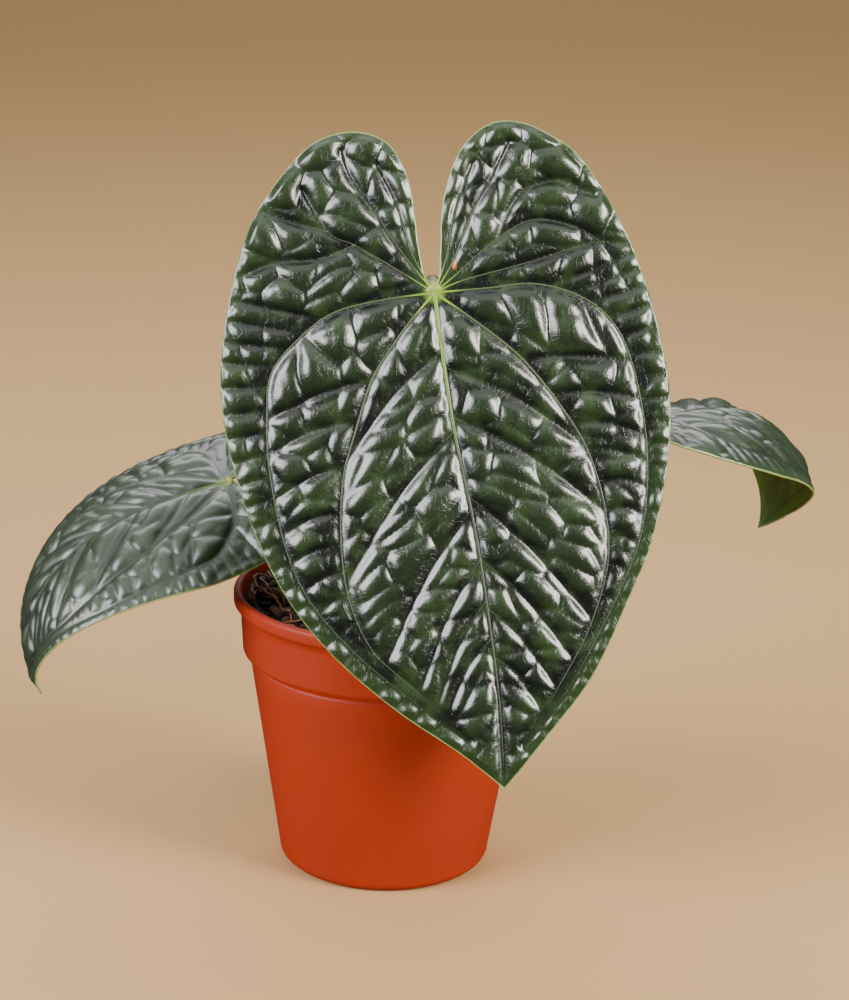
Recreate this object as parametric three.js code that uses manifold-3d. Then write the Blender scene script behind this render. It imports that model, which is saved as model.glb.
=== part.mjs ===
// Potted anthurium luxurians: a young plant with three quilted, heart-shaped leaves in a 12 cm nursery pot.
// Units are millimetres, +Z is up, and the origin is the centre of the pot's underside.
// The front leaf hangs on the -Y side, the left leaf reaches to -X and the right leaf to +X and +Y.

import * as THREE from 'three';
import Module from 'manifold-3d';
import { mergeVertices } from 'three/addons/utils/BufferGeometryUtils.js';

const wasm = await Module();
wasm.setup();

// Driving dimensions of the pot
const POT = {
  height: 110,
  lipRadius: 60,
  lipHeight: 6,
  bandRadius: 57.4,
  bandFoot: 86,
  shoulderFoot: 82,
  shoulderRadius: 53.4,
  baseRadius: 41.3,
  baseRound: 4,
  wall: 1.3,
  sides: 40,
  drainHoles: 8,
  drainRadius: 3.5,
  drainCircle: 29,
};

// Driving dimensions of the potting mix
const MIX = {
  level: 100,
  clearance: 0.4,
  sides: 30,
  rings: 6,
  roughness: 1.4,
  chunks: 24,
  chunkSize: 4.2,
  clearOfStem: 17,
};

// Driving dimensions of the stem and of the leaf stalks
const STEM = { x: 2, y: 5, radius: 7, foot: 86, top: 121, sides: 12, scars: 5, scarDepth: 0.7 };
const AERIAL_ROOT = { count: 5, radius: 1.5, reach: 17, rise: 8, depth: 5 };
const SHEATH = { count: 3, radius: 3.4, height: 17, lean: 0.22, reach: 4.4 };
const PETIOLE = { footRadius: 3.7, radius: 2.5, kneeRadius: 3.2, kneeLength: 17, approach: 12, overshoot: 5,
  sides: 8 };
const GAP = 0.3;

// Driving dimensions of a full-size leaf, seen face on with its tip down.
// Each point is [across, along]: across is + to the right, along is + from the junction towards the tip.
const SINUS_FOOT = [0, -2];
const TIP = [0, 181];
const LEFT_EDGE = [
  SINUS_FOOT, [-2.6, -6], [-3.2, -16], [-3, -28], [-3.6, -42], [-8, -54], [-16, -60], [-26, -61.5], [-37, -58.5],
  [-49, -49], [-62, -34], [-71, -15], [-78, 6], [-82, 30], [-80, 58], [-74, 86], [-65, 108], [-52, 128],
  [-34, 148], [-14, 166], TIP,
];
const RIGHT_EDGE = [
  SINUS_FOOT, [2.6, -6], [4.4, -16], [7, -30], [12.5, -43.5], [19, -52], [28, -57.3], [38, -56.8], [47, -52],
  [59, -41], [70, -17], [76, 6], [79, 30], [79, 50], [75, 72], [66, 98], [54, 119], [37, 145],
  [17, 165], TIP,
];

// The main veins run from the junction. The inner and outer arching veins of each side end near the tip.
const JUNCTION = [0, 0];
const MIDRIB = [JUNCTION, [0, 46], [2.5, 86], [3, 117], [2.5, 150], TIP];
const INNER = {
  left: [JUNCTION, [-13, 12], [-26, 27], [-34, 43], [-42, 62], [-46, 85], [-46, 105], [-41, 123], [-33, 134], [-15, 154]],
  right: [JUNCTION, [14, 13], [28, 28], [40, 48], [47, 65], [50, 86], [48, 106], [38, 128], [25, 146], [12, 162]],
};
const OUTER = {
  left: [JUNCTION, [-20, 0], [-37, 2], [-50, 9], [-62, 20], [-66, 35], [-68, 56], [-66, 84], [-60, 104], [-47, 124],
    [-30, 143], [-10, 162]],
  right: [JUNCTION, [19, 1], [37, 2], [54, 10], [64, 23], [68, 43], [68, 68], [63, 93], [54, 111], [40, 132], [26, 150],
    [9, 166]],
};
const LOBE_VEINS = [
  [JUNCTION, [-12, -10], [-26, -21], [-35, -27], [-42, -43]],
  [JUNCTION, [-9, -15], [-17, -31], [-24, -45], [-26, -55]],
  [JUNCTION, [-6, -15], [-9, -33], [-14, -48]],
  [[-26, -21], [-40, -18], [-55, -19], [-68, -16]],
  [[-35, -27], [-48, -33], [-56, -38]],
  [JUNCTION, [11, -3], [34, -6], [59, -10], [72, -8]],
  [JUNCTION, [8, -5], [25, -16], [41, -21], [60, -12], [69, 6]],
  [JUNCTION, [8, -10], [17, -26], [26, -38], [34, -50]],
  [JUNCTION, [6, -12], [11, -27], [20, -44]],
  [[25, -16], [36, -31], [50, -34], [62, -27]],
];

// Each side vein leaves the midrib at the first length and meets the inner arching vein at the second.
const SIDE_VEINS = {
  left: [[21, 56], [50, 99], [79, 130], [97, 142], [112, 148], [126, 152]],
  right: [[27, 62], [45, 86], [74, 124], [97, 138], [115, 147], [133, 155]],
};
// Each cross vein joins the inner to the outer arching vein at these lengths.
const CROSS_VEINS = {
  left: [[27, 37], [42, 49], [57, 66], [74, 79], [85, 90], [95, 100], [104, 109], [114, 118], [125, 131]],
  right: [[28, 34], [42, 48], [53, 61], [64, 71], [75, 80], [86, 90], [96, 100], [106, 110], [116, 120], [126, 132]],
};
const MARGIN_VEIN_STEP = 8.5;

const BLADE = { thickness: 0.8, rib: 1.3, ribReach: 1.6, crease: 1.7, marginFade: 3.5, edgeStep: 4.4, veinStep: 4.8,
  apart: 2.1, crestSearch: 1, leastCrest: 2, crestApart: 4.4 };

// Where each leaf sits: its junction, the way its midrib leaves it and the way its upper side faces there.
// droop, sway and twist are the turns in degrees between junction and tip, fold is the turn per mm of width.
// A mirrored leaf has its left and right sides the other way round.
const LEAVES = {
  front: { junction: [14, -28, 232], along: [0.168, -0.288, -0.943], facing: [0, -0.956, 0.292], scale: 1, wide: 1,
    droop: 5, sway: 0, twist: 0, fold: 0.0012, crown: 3.2, detail: 1, colour: 0x24391f, roughness: 0.3 },
  left: { junction: [-64.1, 4.3, 149], along: [-0.944, -0.241, -0.223], facing: [-0.108, -0.412, 0.905], scale: 0.693,
    wide: 0.8, droop: 102.6, sway: 21.5, twist: 18.7, fold: 0.0109, mirrored: true, crown: 1.9, detail: 0.72,
    colour: 0x3f5a3c, roughness: 0.5 },
  right: { junction: [100.1, 14.5, 176.3], along: [0.748, 0.663, 0.041], facing: [-0.127, 0.083, 0.988], scale: 0.644,
    wide: 1, droop: 138.5, sway: -12.9, twist: 32.7, fold: 0.0127, crown: 1.9, detail: 0.72, colour: 0x2c4427,
    roughness: 0.45 },
};
// Points that each leaf stalk passes on its way from the stem to the back of its blade.
const STALK_ROUTES = {
  front: [[2, 8, 106], [3, 15, 117], [7, 23, 150], [12, 24, 190], [14, 13, 222]],
  left: [[-1, 3, 110], [-10, 2, 119], [-29, 6, 130]],
  right: [[5, 4, 108], [14, 4, 119], [38, 9, 139], [70, 12, 156]],
};

// Seeded random numbers between 0 and 1, so that the part is the same each time.
function randomNumbers(seed) {
  let state = seed;
  return () => {
    state = (state * 1664525 + 1013904223) % 4294967296;
    return state / 4294967296;
  };
}

const toVector = (p) => new THREE.Vector3(...p);

// Joins the vertices of a geometry that lie on each other, so that it is one closed surface.
function weld(geometry) {
  const bare = geometry.clone();
  bare.deleteAttribute('normal');
  bare.deleteAttribute('uv');
  return dropSlivers(mergeVertices(bare, 1e-3));
}

// Leaves out the faces that have lost a side where vertices were joined, as at the axis of a turned body.
function dropSlivers(geometry) {
  const kept = [];
  const index = geometry.index.array;
  for (let i = 0; i < index.length; i += 3) {
    const [a, b, c] = [index[i], index[i + 1], index[i + 2]];
    if (a !== b && b !== c && c !== a) kept.push(a, b, c);
  }
  return geometry.setIndex(kept);
}

// Turns a closed three.js geometry into a solid that can be joined and cut.
function toSolid(geometry) {
  const merged = weld(geometry);
  return new wasm.Manifold(new wasm.Mesh({
    numProp: 3,
    vertProperties: new Float32Array(merged.attributes.position.array),
    triVerts: new Uint32Array(merged.index.array),
  }));
}

// Turns a solid back into a three.js geometry.
function toGeometry(solid) {
  const mesh = solid.getMesh();
  const geometry = new THREE.BufferGeometry();
  geometry.setAttribute('position', new THREE.BufferAttribute(new Float32Array(mesh.vertProperties), 3));
  geometry.setIndex(new THREE.BufferAttribute(new Uint32Array(mesh.triVerts), 1));
  geometry.computeVertexNormals();
  return geometry;
}

// The largest of the pieces that a cut leaves.
function keepLargest(solid) {
  return solid.decompose().reduce((best, piece) => (piece.volume() > best.volume() ? piece : best));
}

// A turned body about the Z axis. The profile is a list of [radius, height].
function turned(profile, sides) {
  const geometry = new THREE.LatheGeometry(profile.map(([r, z]) => new THREE.Vector2(r, z)), sides);
  return geometry.rotateX(Math.PI / 2);
}

// A closed tube along a smooth route. radiusAt gives its radius at each share of the length.
// Its section is round with the corners of a soft square, as the leaf stalks are.
function tube(route, steps, sides, radiusAt, squareness = 0) {
  const curve = new THREE.CatmullRomCurve3(route.map((p) => toVector(p)));
  const frames = curve.computeFrenetFrames(steps, false);
  const points = [];
  for (let i = 0; i <= steps; i++) {
    const centre = curve.getPointAt(i / steps);
    for (let j = 0; j < sides; j++) {
      const turn = (j / sides) * 2 * Math.PI;
      const radius = radiusAt(i / steps) * (1 + squareness * Math.cos(4 * turn));
      points.push(centre.clone()
        .addScaledVector(frames.normals[i], Math.cos(turn) * radius)
        .addScaledVector(frames.binormals[i], Math.sin(turn) * radius));
    }
  }
  const faces = [];
  for (let i = 0; i < steps; i++) {
    for (let j = 0; j < sides; j++) {
      const a = i * sides + j;
      const b = i * sides + ((j + 1) % sides);
      faces.push(a, b, a + sides, b, b + sides, a + sides);
    }
  }
  const last = steps * sides;
  for (let j = 1; j < sides - 1; j++) {
    faces.push(0, j + 1, j);
    faces.push(last, last + j, last + j + 1);
  }
  const geometry = new THREE.BufferGeometry().setFromPoints(points);
  geometry.setIndex(faces);
  return geometry;
}

// The pot: a thin moulded shell with a rolled lip, a tall band, a sloping shoulder and drain holes in its base.
function makePot() {
  const p = POT;
  const bandTop = p.height - p.lipHeight;
  const corner = [0, 30, 60, 90].map((degrees) => {
    const turn = THREE.MathUtils.degToRad(degrees);
    const centre = p.baseRadius - p.baseRound;
    return [centre + p.baseRound * Math.sin(turn), p.baseRound * (1 - Math.cos(turn))];
  });
  const outside = [
    [0, 0], ...corner, [p.shoulderRadius, p.shoulderFoot], [p.bandRadius - 1.2, p.bandFoot], [p.bandRadius, bandTop],
    [p.lipRadius - 0.4, bandTop + 0.8], [p.lipRadius, bandTop + 3], [p.lipRadius - 0.6, p.height - 1],
    [p.lipRadius - 1.7, p.height],
  ];
  const inside = [
    [p.lipRadius - 3, p.height - 0.8], [p.bandRadius - 1.7, bandTop], [p.bandRadius - 1.2 - p.wall, p.bandFoot + 0.6],
    [p.shoulderRadius - p.wall, p.shoulderFoot], [p.baseRadius - p.wall, p.baseRound], [p.baseRadius - p.baseRound, p.wall],
    [0, p.wall],
  ];
  let solid = toSolid(turned([...outside, ...inside], p.sides));
  for (let i = 0; i < p.drainHoles; i++) {
    const turn = (i / p.drainHoles) * 2 * Math.PI;
    const hole = new THREE.CylinderGeometry(p.drainRadius, p.drainRadius, 4 * p.wall, 12).rotateX(Math.PI / 2);
    hole.translate(p.drainCircle * Math.cos(turn), p.drainCircle * Math.sin(turn), 0);
    solid = solid.subtract(toSolid(hole));
  }
  return toGeometry(solid);
}

// The stem: ringed by leaf scars, with papery leaf sheaths at its top and roots that arch down into the mix.
// It is made larger by the clearance where it cuts its own plain holes in the mix.
function makeStemSolid(grow) {
  const profile = [[0, STEM.foot - grow]];
  const steps = STEM.scars * 2;
  const straight = STEM.top - STEM.foot - 8;
  for (let i = 0; i <= steps; i++) {
    const scar = i % 2 ? -STEM.scarDepth : 0;
    profile.push([STEM.radius * (1 - 0.25 * (i / steps)) + scar + grow, STEM.foot + straight * (i / steps)]);
  }
  profile.push([STEM.radius * 0.45 + grow, STEM.top - 4], [0, STEM.top + grow]);
  let solid = toSolid(turned(profile, STEM.sides).translate(STEM.x, STEM.y, 0));
  for (let i = 0; i < SHEATH.count; i++) {
    const turn = ((i + 0.45) / SHEATH.count) * 2 * Math.PI;
    const cone = new THREE.ConeGeometry(SHEATH.radius + grow, SHEATH.height, 6, 1).rotateX(Math.PI / 2);
    cone.rotateY(SHEATH.lean).rotateZ(turn);
    cone.translate(STEM.x + SHEATH.reach * Math.cos(turn), STEM.y + SHEATH.reach * Math.sin(turn), STEM.top - 8);
    solid = solid.add(toSolid(cone));
  }
  for (let i = 0; i < AERIAL_ROOT.count; i++) {
    const turn = ((i + 0.3) / AERIAL_ROOT.count) * 2 * Math.PI;
    const at = (reach, z) => [STEM.x + reach * Math.cos(turn), STEM.y + reach * Math.sin(turn), z];
    const start = MIX.level + AERIAL_ROOT.rise;
    const route = [at(3, start), at(0.6 * AERIAL_ROOT.reach, start - 1), at(AERIAL_ROOT.reach, MIX.level + 2),
      at(AERIAL_ROOT.reach + 1, MIX.level - AERIAL_ROOT.depth - grow)];
    solid = solid.add(toSolid(tube(route, 7, 6, (share) => AERIAL_ROOT.radius * (1 - 0.25 * share) + grow)));
  }
  return solid;
}

// The potting mix: fills the pot to just under the lip, with bark chunks and hollows on its top.
function makeMix() {
  const random = randomNumbers(11);
  const topRadius = POT.bandRadius - 1.2 - POT.wall - MIX.clearance;
  const profile = [
    [0, POT.wall + MIX.clearance], [POT.baseRadius - POT.baseRound - 1, POT.wall + MIX.clearance],
    [POT.baseRadius - POT.wall - MIX.clearance, POT.baseRound + 1],
    [POT.shoulderRadius - POT.wall - MIX.clearance, POT.shoulderFoot], [topRadius, POT.bandFoot + 1.5],
    [topRadius, MIX.level - 1],
  ];
  for (let i = MIX.rings - 1; i >= 0; i--) profile.push([topRadius * (i / MIX.rings), MIX.level]);
  const body = weld(turned(profile, MIX.sides));
  const position = body.attributes.position;
  for (let i = 0; i < position.count; i++) {
    const isTop = position.getZ(i) > MIX.level - 0.5;
    if (isTop) position.setZ(i, MIX.level + MIX.roughness * (2 * random() - 1));
  }
  let solid = toSolid(body);
  for (let i = 0; i < MIX.chunks; i++) {
    const reach = (topRadius - 7) * Math.sqrt(random());
    const turn = random() * 2 * Math.PI;
    const size = MIX.chunkSize * (0.6 + 0.9 * random());
    const isByStem = Math.hypot(reach * Math.cos(turn) - STEM.x, reach * Math.sin(turn) - STEM.y) < MIX.clearOfStem;
    if (isByStem) continue;
    const chunk = new THREE.IcosahedronGeometry(size, 0).scale(1.2, 0.85, 0.55);
    chunk.rotateX(0.8 * (random() - 0.5)).rotateY(0.8 * (random() - 0.5)).rotateZ(3 * turn);
    chunk.translate(reach * Math.cos(turn), reach * Math.sin(turn), MIX.level + 0.25 * size);
    solid = solid.add(toSolid(chunk));
  }
  return toGeometry(keepLargest(solid.subtract(makeStemSolid(GAP))));
}

// A smooth line through hand-picked points of the leaf, as evenly spaced points.
function smoothLine(points, step) {
  const curve = new THREE.SplineCurve(points.map(([x, y]) => new THREE.Vector2(x, y)));
  return curve.getSpacedPoints(Math.max(2, Math.round(curve.getLength() / step)));
}

// The shortest distance from a point to a line of points.
function distanceToLine(point, line) {
  let nearest = Infinity;
  for (let i = 0; i < line.length - 1; i++) {
    const a = line[i];
    const b = line[i + 1];
    const dx = b.x - a.x;
    const dy = b.y - a.y;
    const share = Math.min(1, Math.max(0, ((point.x - a.x) * dx + (point.y - a.y) * dy) / (dx * dx + dy * dy + 1e-9)));
    nearest = Math.min(nearest, Math.hypot(point.x - a.x - share * dx, point.y - a.y - share * dy));
  }
  return nearest;
}

// The point of a vein that lies a given length below the junction.
function pointAt(line, along) {
  return line.reduce((best, p) => (Math.abs(p.y - along) < Math.abs(best.y - along) && p.y >= 0 ? p : best));
}

// A side vein: leaves one vein, bows towards the tip and meets the next one.
function bowedVein(from, to, bow) {
  const middle = [(from.x + to.x) / 2, (from.y + to.y) / 2 + bow];
  return [[from.x, from.y], middle, [to.x, to.y]];
}

// Whether a point lies inside a closed outline, by counting the edges that a ray crosses.
function isInside(x, y, outline) {
  let inside = false;
  for (let i = 0, j = outline.length - 1; i < outline.length; j = i++) {
    const a = outline[i];
    const b = outline[j];
    if ((a.y > y) !== (b.y > y) && x < ((b.x - a.x) * (y - a.y)) / (b.y - a.y) + a.x) inside = !inside;
  }
  return inside;
}

// The outline of the leaf, once round: down its left edge to the tip and up its right edge.
const OUTLINE = [...smoothLine(LEFT_EDGE, 1.6).slice(0, -1), ...smoothLine(RIGHT_EDGE, 1.6).slice(1).reverse()];

// The vein pattern: main veins, side veins, cross veins and the short veins of the margin.
function makeVeins() {
  const ribs = [smoothLine(MIDRIB, 2)];
  const veins = LOBE_VEINS.map((points) => smoothLine(points, 2));
  for (const side of ['left', 'right']) {
    const inner = smoothLine(INNER[side], 1);
    const outer = smoothLine(OUTER[side], 1);
    ribs.push(inner);
    veins.push(outer);
    const midrib = smoothLine(MIDRIB, 1);
    for (const [start, end] of SIDE_VEINS[side]) {
      veins.push(smoothLine(bowedVein(pointAt(midrib, start), pointAt(inner, end), -4), 2));
    }
    for (const [start, end] of CROSS_VEINS[side]) {
      veins.push(smoothLine(bowedVein(pointAt(inner, start), pointAt(outer, end), -2), 2));
    }
    const edge = smoothLine(side === 'left' ? LEFT_EDGE : RIGHT_EDGE, 1);
    for (let along = 26; along < outer.length - 6; along += MARGIN_VEIN_STEP) {
      const start = outer[Math.round(along)];
      const end = edge.reduce((best, p) => (p.distanceTo(start) < best.distanceTo(start) ? p : best));
      veins.push([start, end]);
    }
  }
  return { ribs, veins };
}
const { ribs: RIBS, veins: VEINS } = makeVeins();

// The distance from a point of the leaf to the nearest vein.
function distanceToVeins(point) {
  return Math.min(...[...RIBS, ...VEINS].map((vein) => distanceToLine(point, vein)));
}

// Points for one blade: on its outline, along its veins and on the crests between them, the highest crests first.
// A smaller leaf takes fewer points.
function bladePoints(detail) {
  const step = 1 / detail;
  const edge = [
    ...smoothLine(LEFT_EDGE, BLADE.edgeStep * step).slice(0, -1),
    ...smoothLine(RIGHT_EDGE, BLADE.edgeStep * step).slice(1).reverse(),
  ];
  const points = [...edge];
  const isFree = (p, apart) => points.every((q) => Math.hypot(p.x - q.x, p.y - q.y) > apart);
  const add = (p, apart) => {
    if (isInside(p.x, p.y, OUTLINE) && isFree(p, apart)) points.push(p);
  };
  for (const rib of RIBS) {
    for (const p of smoothLine(rib.map((q) => [q.x, q.y]), BLADE.veinStep * step)) add(p, BLADE.apart * step);
  }
  for (const vein of VEINS) {
    for (const p of smoothLine(vein.map((q) => [q.x, q.y]), BLADE.veinStep * step)) add(p, BLADE.apart * step);
  }
  const crests = [];
  for (let y = -62; y < TIP[1]; y += BLADE.crestSearch) {
    for (let x = -82; x < 82; x += BLADE.crestSearch) {
      const place = new THREE.Vector2(x, y);
      if (!isInside(x, y, OUTLINE)) continue;
      const reach = Math.min(distanceToVeins(place), distanceToLine(place, OUTLINE));
      if (reach > BLADE.leastCrest * step) crests.push({ place, reach });
    }
  }
  crests.sort((p, q) => q.reach - p.reach);
  for (const crest of crests) add(crest.place, BLADE.crestApart * step);
  return { points, edge };
}

// Delaunay triangles of a set of points, by adding one point at a time.
function delaunay(points) {
  const far = 2000;
  const all = [...points, new THREE.Vector2(-far, -far), new THREE.Vector2(far, -far), new THREE.Vector2(0, far)];
  const circle = (a, b, c) => {
    const [p, q, r] = [all[a], all[b], all[c]];
    const d = 2 * (p.x * (q.y - r.y) + q.x * (r.y - p.y) + r.x * (p.y - q.y));
    const [pp, qq, rr] = [p.lengthSq(), q.lengthSq(), r.lengthSq()];
    const x = (pp * (q.y - r.y) + qq * (r.y - p.y) + rr * (p.y - q.y)) / d;
    const y = (pp * (r.x - q.x) + qq * (p.x - r.x) + rr * (q.x - p.x)) / d;
    return { face: [a, b, c], x, y, reach: (p.x - x) ** 2 + (p.y - y) ** 2 };
  };
  let faces = [circle(points.length, points.length + 1, points.length + 2)];
  points.forEach((point, index) => {
    const edges = new Map();
    faces = faces.filter((t) => {
      if ((point.x - t.x) ** 2 + (point.y - t.y) ** 2 >= t.reach) return true;
      for (let k = 0; k < 3; k++) {
        const [a, b] = [t.face[k], t.face[(k + 1) % 3]];
        if (!edges.delete(`${b},${a}`)) edges.set(`${a},${b}`, [a, b]);
      }
      return false;
    });
    for (const [a, b] of edges.values()) faces.push(circle(a, b, index));
  });
  return faces.map((t) => t.face).filter((face) => face.every((v) => v < points.length));
}

// The path of a leaf's midrib in space, with the frame of the blade at each millimetre of it.
function midribPath(leaf) {
  const along = toVector(leaf.along).normalize();
  const facing = toVector(leaf.facing);
  facing.addScaledVector(along, -facing.dot(along)).normalize();
  const length = TIP[1] * leaf.scale;
  const perMm = THREE.MathUtils.degToRad(1) / length;
  const walk = (step, reach) => {
    const place = toVector(leaf.junction);
    const [t, n] = [along.clone(), facing.clone()];
    const frames = [];
    for (let a = 0; Math.abs(a) <= reach; a += step) {
      const w = n.clone().cross(t);
      frames.push({ place: place.clone(), t: t.clone(), n: n.clone(), w: w.clone() });
      const droop = 2 * leaf.droop * perMm * (a / length);
      const nextT = t.clone().addScaledVector(n, -droop * step).addScaledVector(w, leaf.sway * perMm * step);
      const nextN = n.clone().addScaledVector(t, droop * step).addScaledVector(w, -leaf.twist * perMm * step);
      t.copy(nextT).normalize();
      n.copy(nextN.addScaledVector(t, -nextN.dot(t))).normalize();
      place.addScaledVector(t, step);
    }
    return frames;
  };
  return { down: walk(1, length + 2), up: walk(-1, 66 * leaf.scale) };
}

// Returns a function that puts a flat leaf point, raised by a height, at its place in space.
function placeLeaf(leaf) {
  const path = midribPath(leaf);
  return (across, along, height) => {
    const side = along < 0 ? path.up : path.down;
    const share = Math.min(Math.abs(along) * leaf.scale, side.length - 1.001);
    const [from, to] = [side[Math.floor(share)], side[Math.floor(share) + 1]];
    const mix = (key) => from[key].clone().lerp(to[key], share - Math.floor(share));
    const turn = leaf.fold * (leaf.mirrored ? -across : across) * leaf.scale * leaf.wide;
    const normal = mix('n').multiplyScalar(Math.cos(turn)).addScaledVector(mix('w'), Math.sin(turn));
    return mix('place')
      .addScaledVector(mix('w'), Math.sin(turn) / leaf.fold)
      .addScaledVector(mix('n'), (Math.cos(turn) - 1) / leaf.fold)
      .addScaledVector(normal, height);
  };
}

// A blade: it swells between its veins and creases at them, and its main veins stand out as ribs underneath.
// Both faces are split into triangles alike, and a wall joins them round the margin.
function makeBlade(leaf) {
  const { points, edge } = bladePoints(leaf.detail);
  const faces = delaunay(points).filter(([a, b, c]) => {
    const x = (points[a].x + points[b].x + points[c].x) / 3;
    const y = (points[a].y + points[b].y + points[c].y) / 3;
    return isInside(x, y, edge);
  });
  const place = placeLeaf(leaf);
  const margin = [...edge, edge[0]];
  const upper = [];
  const lower = [];
  points.forEach((p) => {
    const toVein = distanceToVeins(p);
    const toRib = Math.min(...RIBS.map((rib) => distanceToLine(p, rib)));
    const fade = Math.min(1, 0.25 + distanceToLine(p, margin) / BLADE.marginFade);
    const swell = leaf.crown * (1 - Math.exp(-toVein / BLADE.crease)) * fade;
    const taper = Math.max(0.15, 1 - Math.max(0, p.y) / TIP[1]);
    const rib = leaf.scale * BLADE.rib * taper * Math.exp(-((toRib / BLADE.ribReach) ** 2));
    upper.push(place(p.x, p.y, swell));
    lower.push(place(p.x, p.y, swell - BLADE.thickness - rib));
  });
  const count = points.length;
  const index = faces.flatMap(([a, b, c]) => [a, b, c, count + a, count + c, count + b]);
  edge.forEach((_, i) => {
    const next = (i + 1) % edge.length;
    index.push(i, next, count + next, i, count + next, count + i);
  });
  // The faces were drawn for a mirrored leaf, so those of the others are turned to point outwards.
  if (!leaf.mirrored) {
    for (let i = 0; i < index.length; i += 3) [index[i], index[i + 1]] = [index[i + 1], index[i]];
  }
  const geometry = new THREE.BufferGeometry().setFromPoints([...upper, ...lower]);
  geometry.setIndex(index);
  geometry.computeVertexNormals();
  return geometry;
}

// A leaf stalk: soft-cornered, thicker at its foot, with the swollen knee under the junction of the blade.
// Its foot is cut to the stem and its end to the back of the blade, each with the clearance.
function makeStalk(leaf, route) {
  const facing = toVector(leaf.facing).normalize();
  const back = toVector(leaf.junction).addScaledVector(facing, -(BLADE.thickness + leaf.scale * BLADE.rib + GAP));
  const end = toVector(leaf.junction).addScaledVector(facing, 2);
  const below = toVector(leaf.junction).addScaledVector(facing, -PETIOLE.approach)
    .addScaledVector(toVector(leaf.along), -PETIOLE.overshoot);
  const points = [...route.map(toVector), below, end];
  const length = new THREE.CatmullRomCurve3(points).getLength();
  const knee = 1 - PETIOLE.kneeLength / length;
  const radiusAt = (share) => {
    const foot = (PETIOLE.footRadius - PETIOLE.radius) * Math.exp(-share * length / 9);
    const swollen = (PETIOLE.kneeRadius - PETIOLE.radius) * THREE.MathUtils.smoothstep(share, knee, knee + 0.06);
    return PETIOLE.radius + foot + swollen;
  };
  let solid = toSolid(tube(points.map((p) => p.toArray()), Math.round(length / 7), PETIOLE.sides, radiusAt, 0.06));
  const block = 40;
  const cutter = new THREE.BoxGeometry(block, block, block).translate(0, 0, block / 2);
  cutter.applyQuaternion(new THREE.Quaternion().setFromUnitVectors(new THREE.Vector3(0, 0, 1), facing));
  cutter.translate(back.x, back.y, back.z);
  solid = solid.subtract(toSolid(cutter)).subtract(makeStemSolid(GAP));
  return keepLargest(solid);
}

const COLOURS = { pot: 0xb8451f, mix: 0x2a1a10, stem: 0x6b6a3a, stalk: 0x5c6b34 };

const plant = new THREE.Group();

// Adds one named piece with its own material to the plant.
function addPiece(name, geometry, color, roughness) {
  const piece = new THREE.Mesh(geometry, new THREE.MeshStandardMaterial({ color, roughness, metalness: 0 }));
  piece.name = name;
  plant.add(piece);
}

addPiece('pot', makePot(), COLOURS.pot, 0.5);
addPiece('potting_mix', makeMix(), COLOURS.mix, 0.95);
addPiece('stem', toGeometry(makeStemSolid(0)), COLOURS.stem, 0.7);
for (const [name, leaf] of Object.entries(LEAVES)) {
  addPiece(`petiole_${name}`, toGeometry(makeStalk(leaf, STALK_ROUTES[name])), COLOURS.stalk, 0.45);
  addPiece(`blade_${name}`, makeBlade(leaf), leaf.colour, leaf.roughness);
}

export default plant;
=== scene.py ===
# %% [markdown]
# # A potted anthurium luxurians
# The plant has three heart-shaped leaves. Each blade is quilted: it swells between its veins and is pinched
# in at them, as a padded cover is at its seams. That relief is the look of this plant, so it is real geometry
# here, and only what is finer than about a millimetre is left to the materials.
# The script works in millimetres, as a gardener measures, and turns them to metres where a mesh is made.

# %% Load the frame
import math

import bpy
import numpy as np
from mathutils import Matrix


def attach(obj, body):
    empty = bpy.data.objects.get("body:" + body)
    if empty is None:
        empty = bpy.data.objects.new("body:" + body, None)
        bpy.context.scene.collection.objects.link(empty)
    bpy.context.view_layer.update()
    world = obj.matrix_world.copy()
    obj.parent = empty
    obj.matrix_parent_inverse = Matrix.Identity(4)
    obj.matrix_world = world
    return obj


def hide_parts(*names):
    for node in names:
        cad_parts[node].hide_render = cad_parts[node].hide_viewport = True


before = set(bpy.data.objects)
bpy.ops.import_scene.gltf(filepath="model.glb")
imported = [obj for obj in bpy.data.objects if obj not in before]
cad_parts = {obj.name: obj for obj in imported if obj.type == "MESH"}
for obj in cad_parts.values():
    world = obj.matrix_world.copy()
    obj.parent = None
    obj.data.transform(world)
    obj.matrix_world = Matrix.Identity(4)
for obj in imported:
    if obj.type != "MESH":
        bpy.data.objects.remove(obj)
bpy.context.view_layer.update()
MM = 0.001

# %% [markdown]
# ## The camera
# The photograph looks down on the pot by about 17 degrees through a portrait lens. Both came from the pot's
# edges: its rim and its foot are circles, and how flat they look gives the angle and the distance.

# %% The camera
CAMERA_DOWN = math.radians(17.1)
CAMERA_ROLL = math.radians(1.58)
CAMERA_DISTANCE = 900 * MM
CAMERA_TARGET = np.array([12.5, 0, 145.4]) * MM
FRAME_HEIGHT_PX = 1000
FOCAL_PX = 2360
SENSOR_MM = 36


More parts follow.
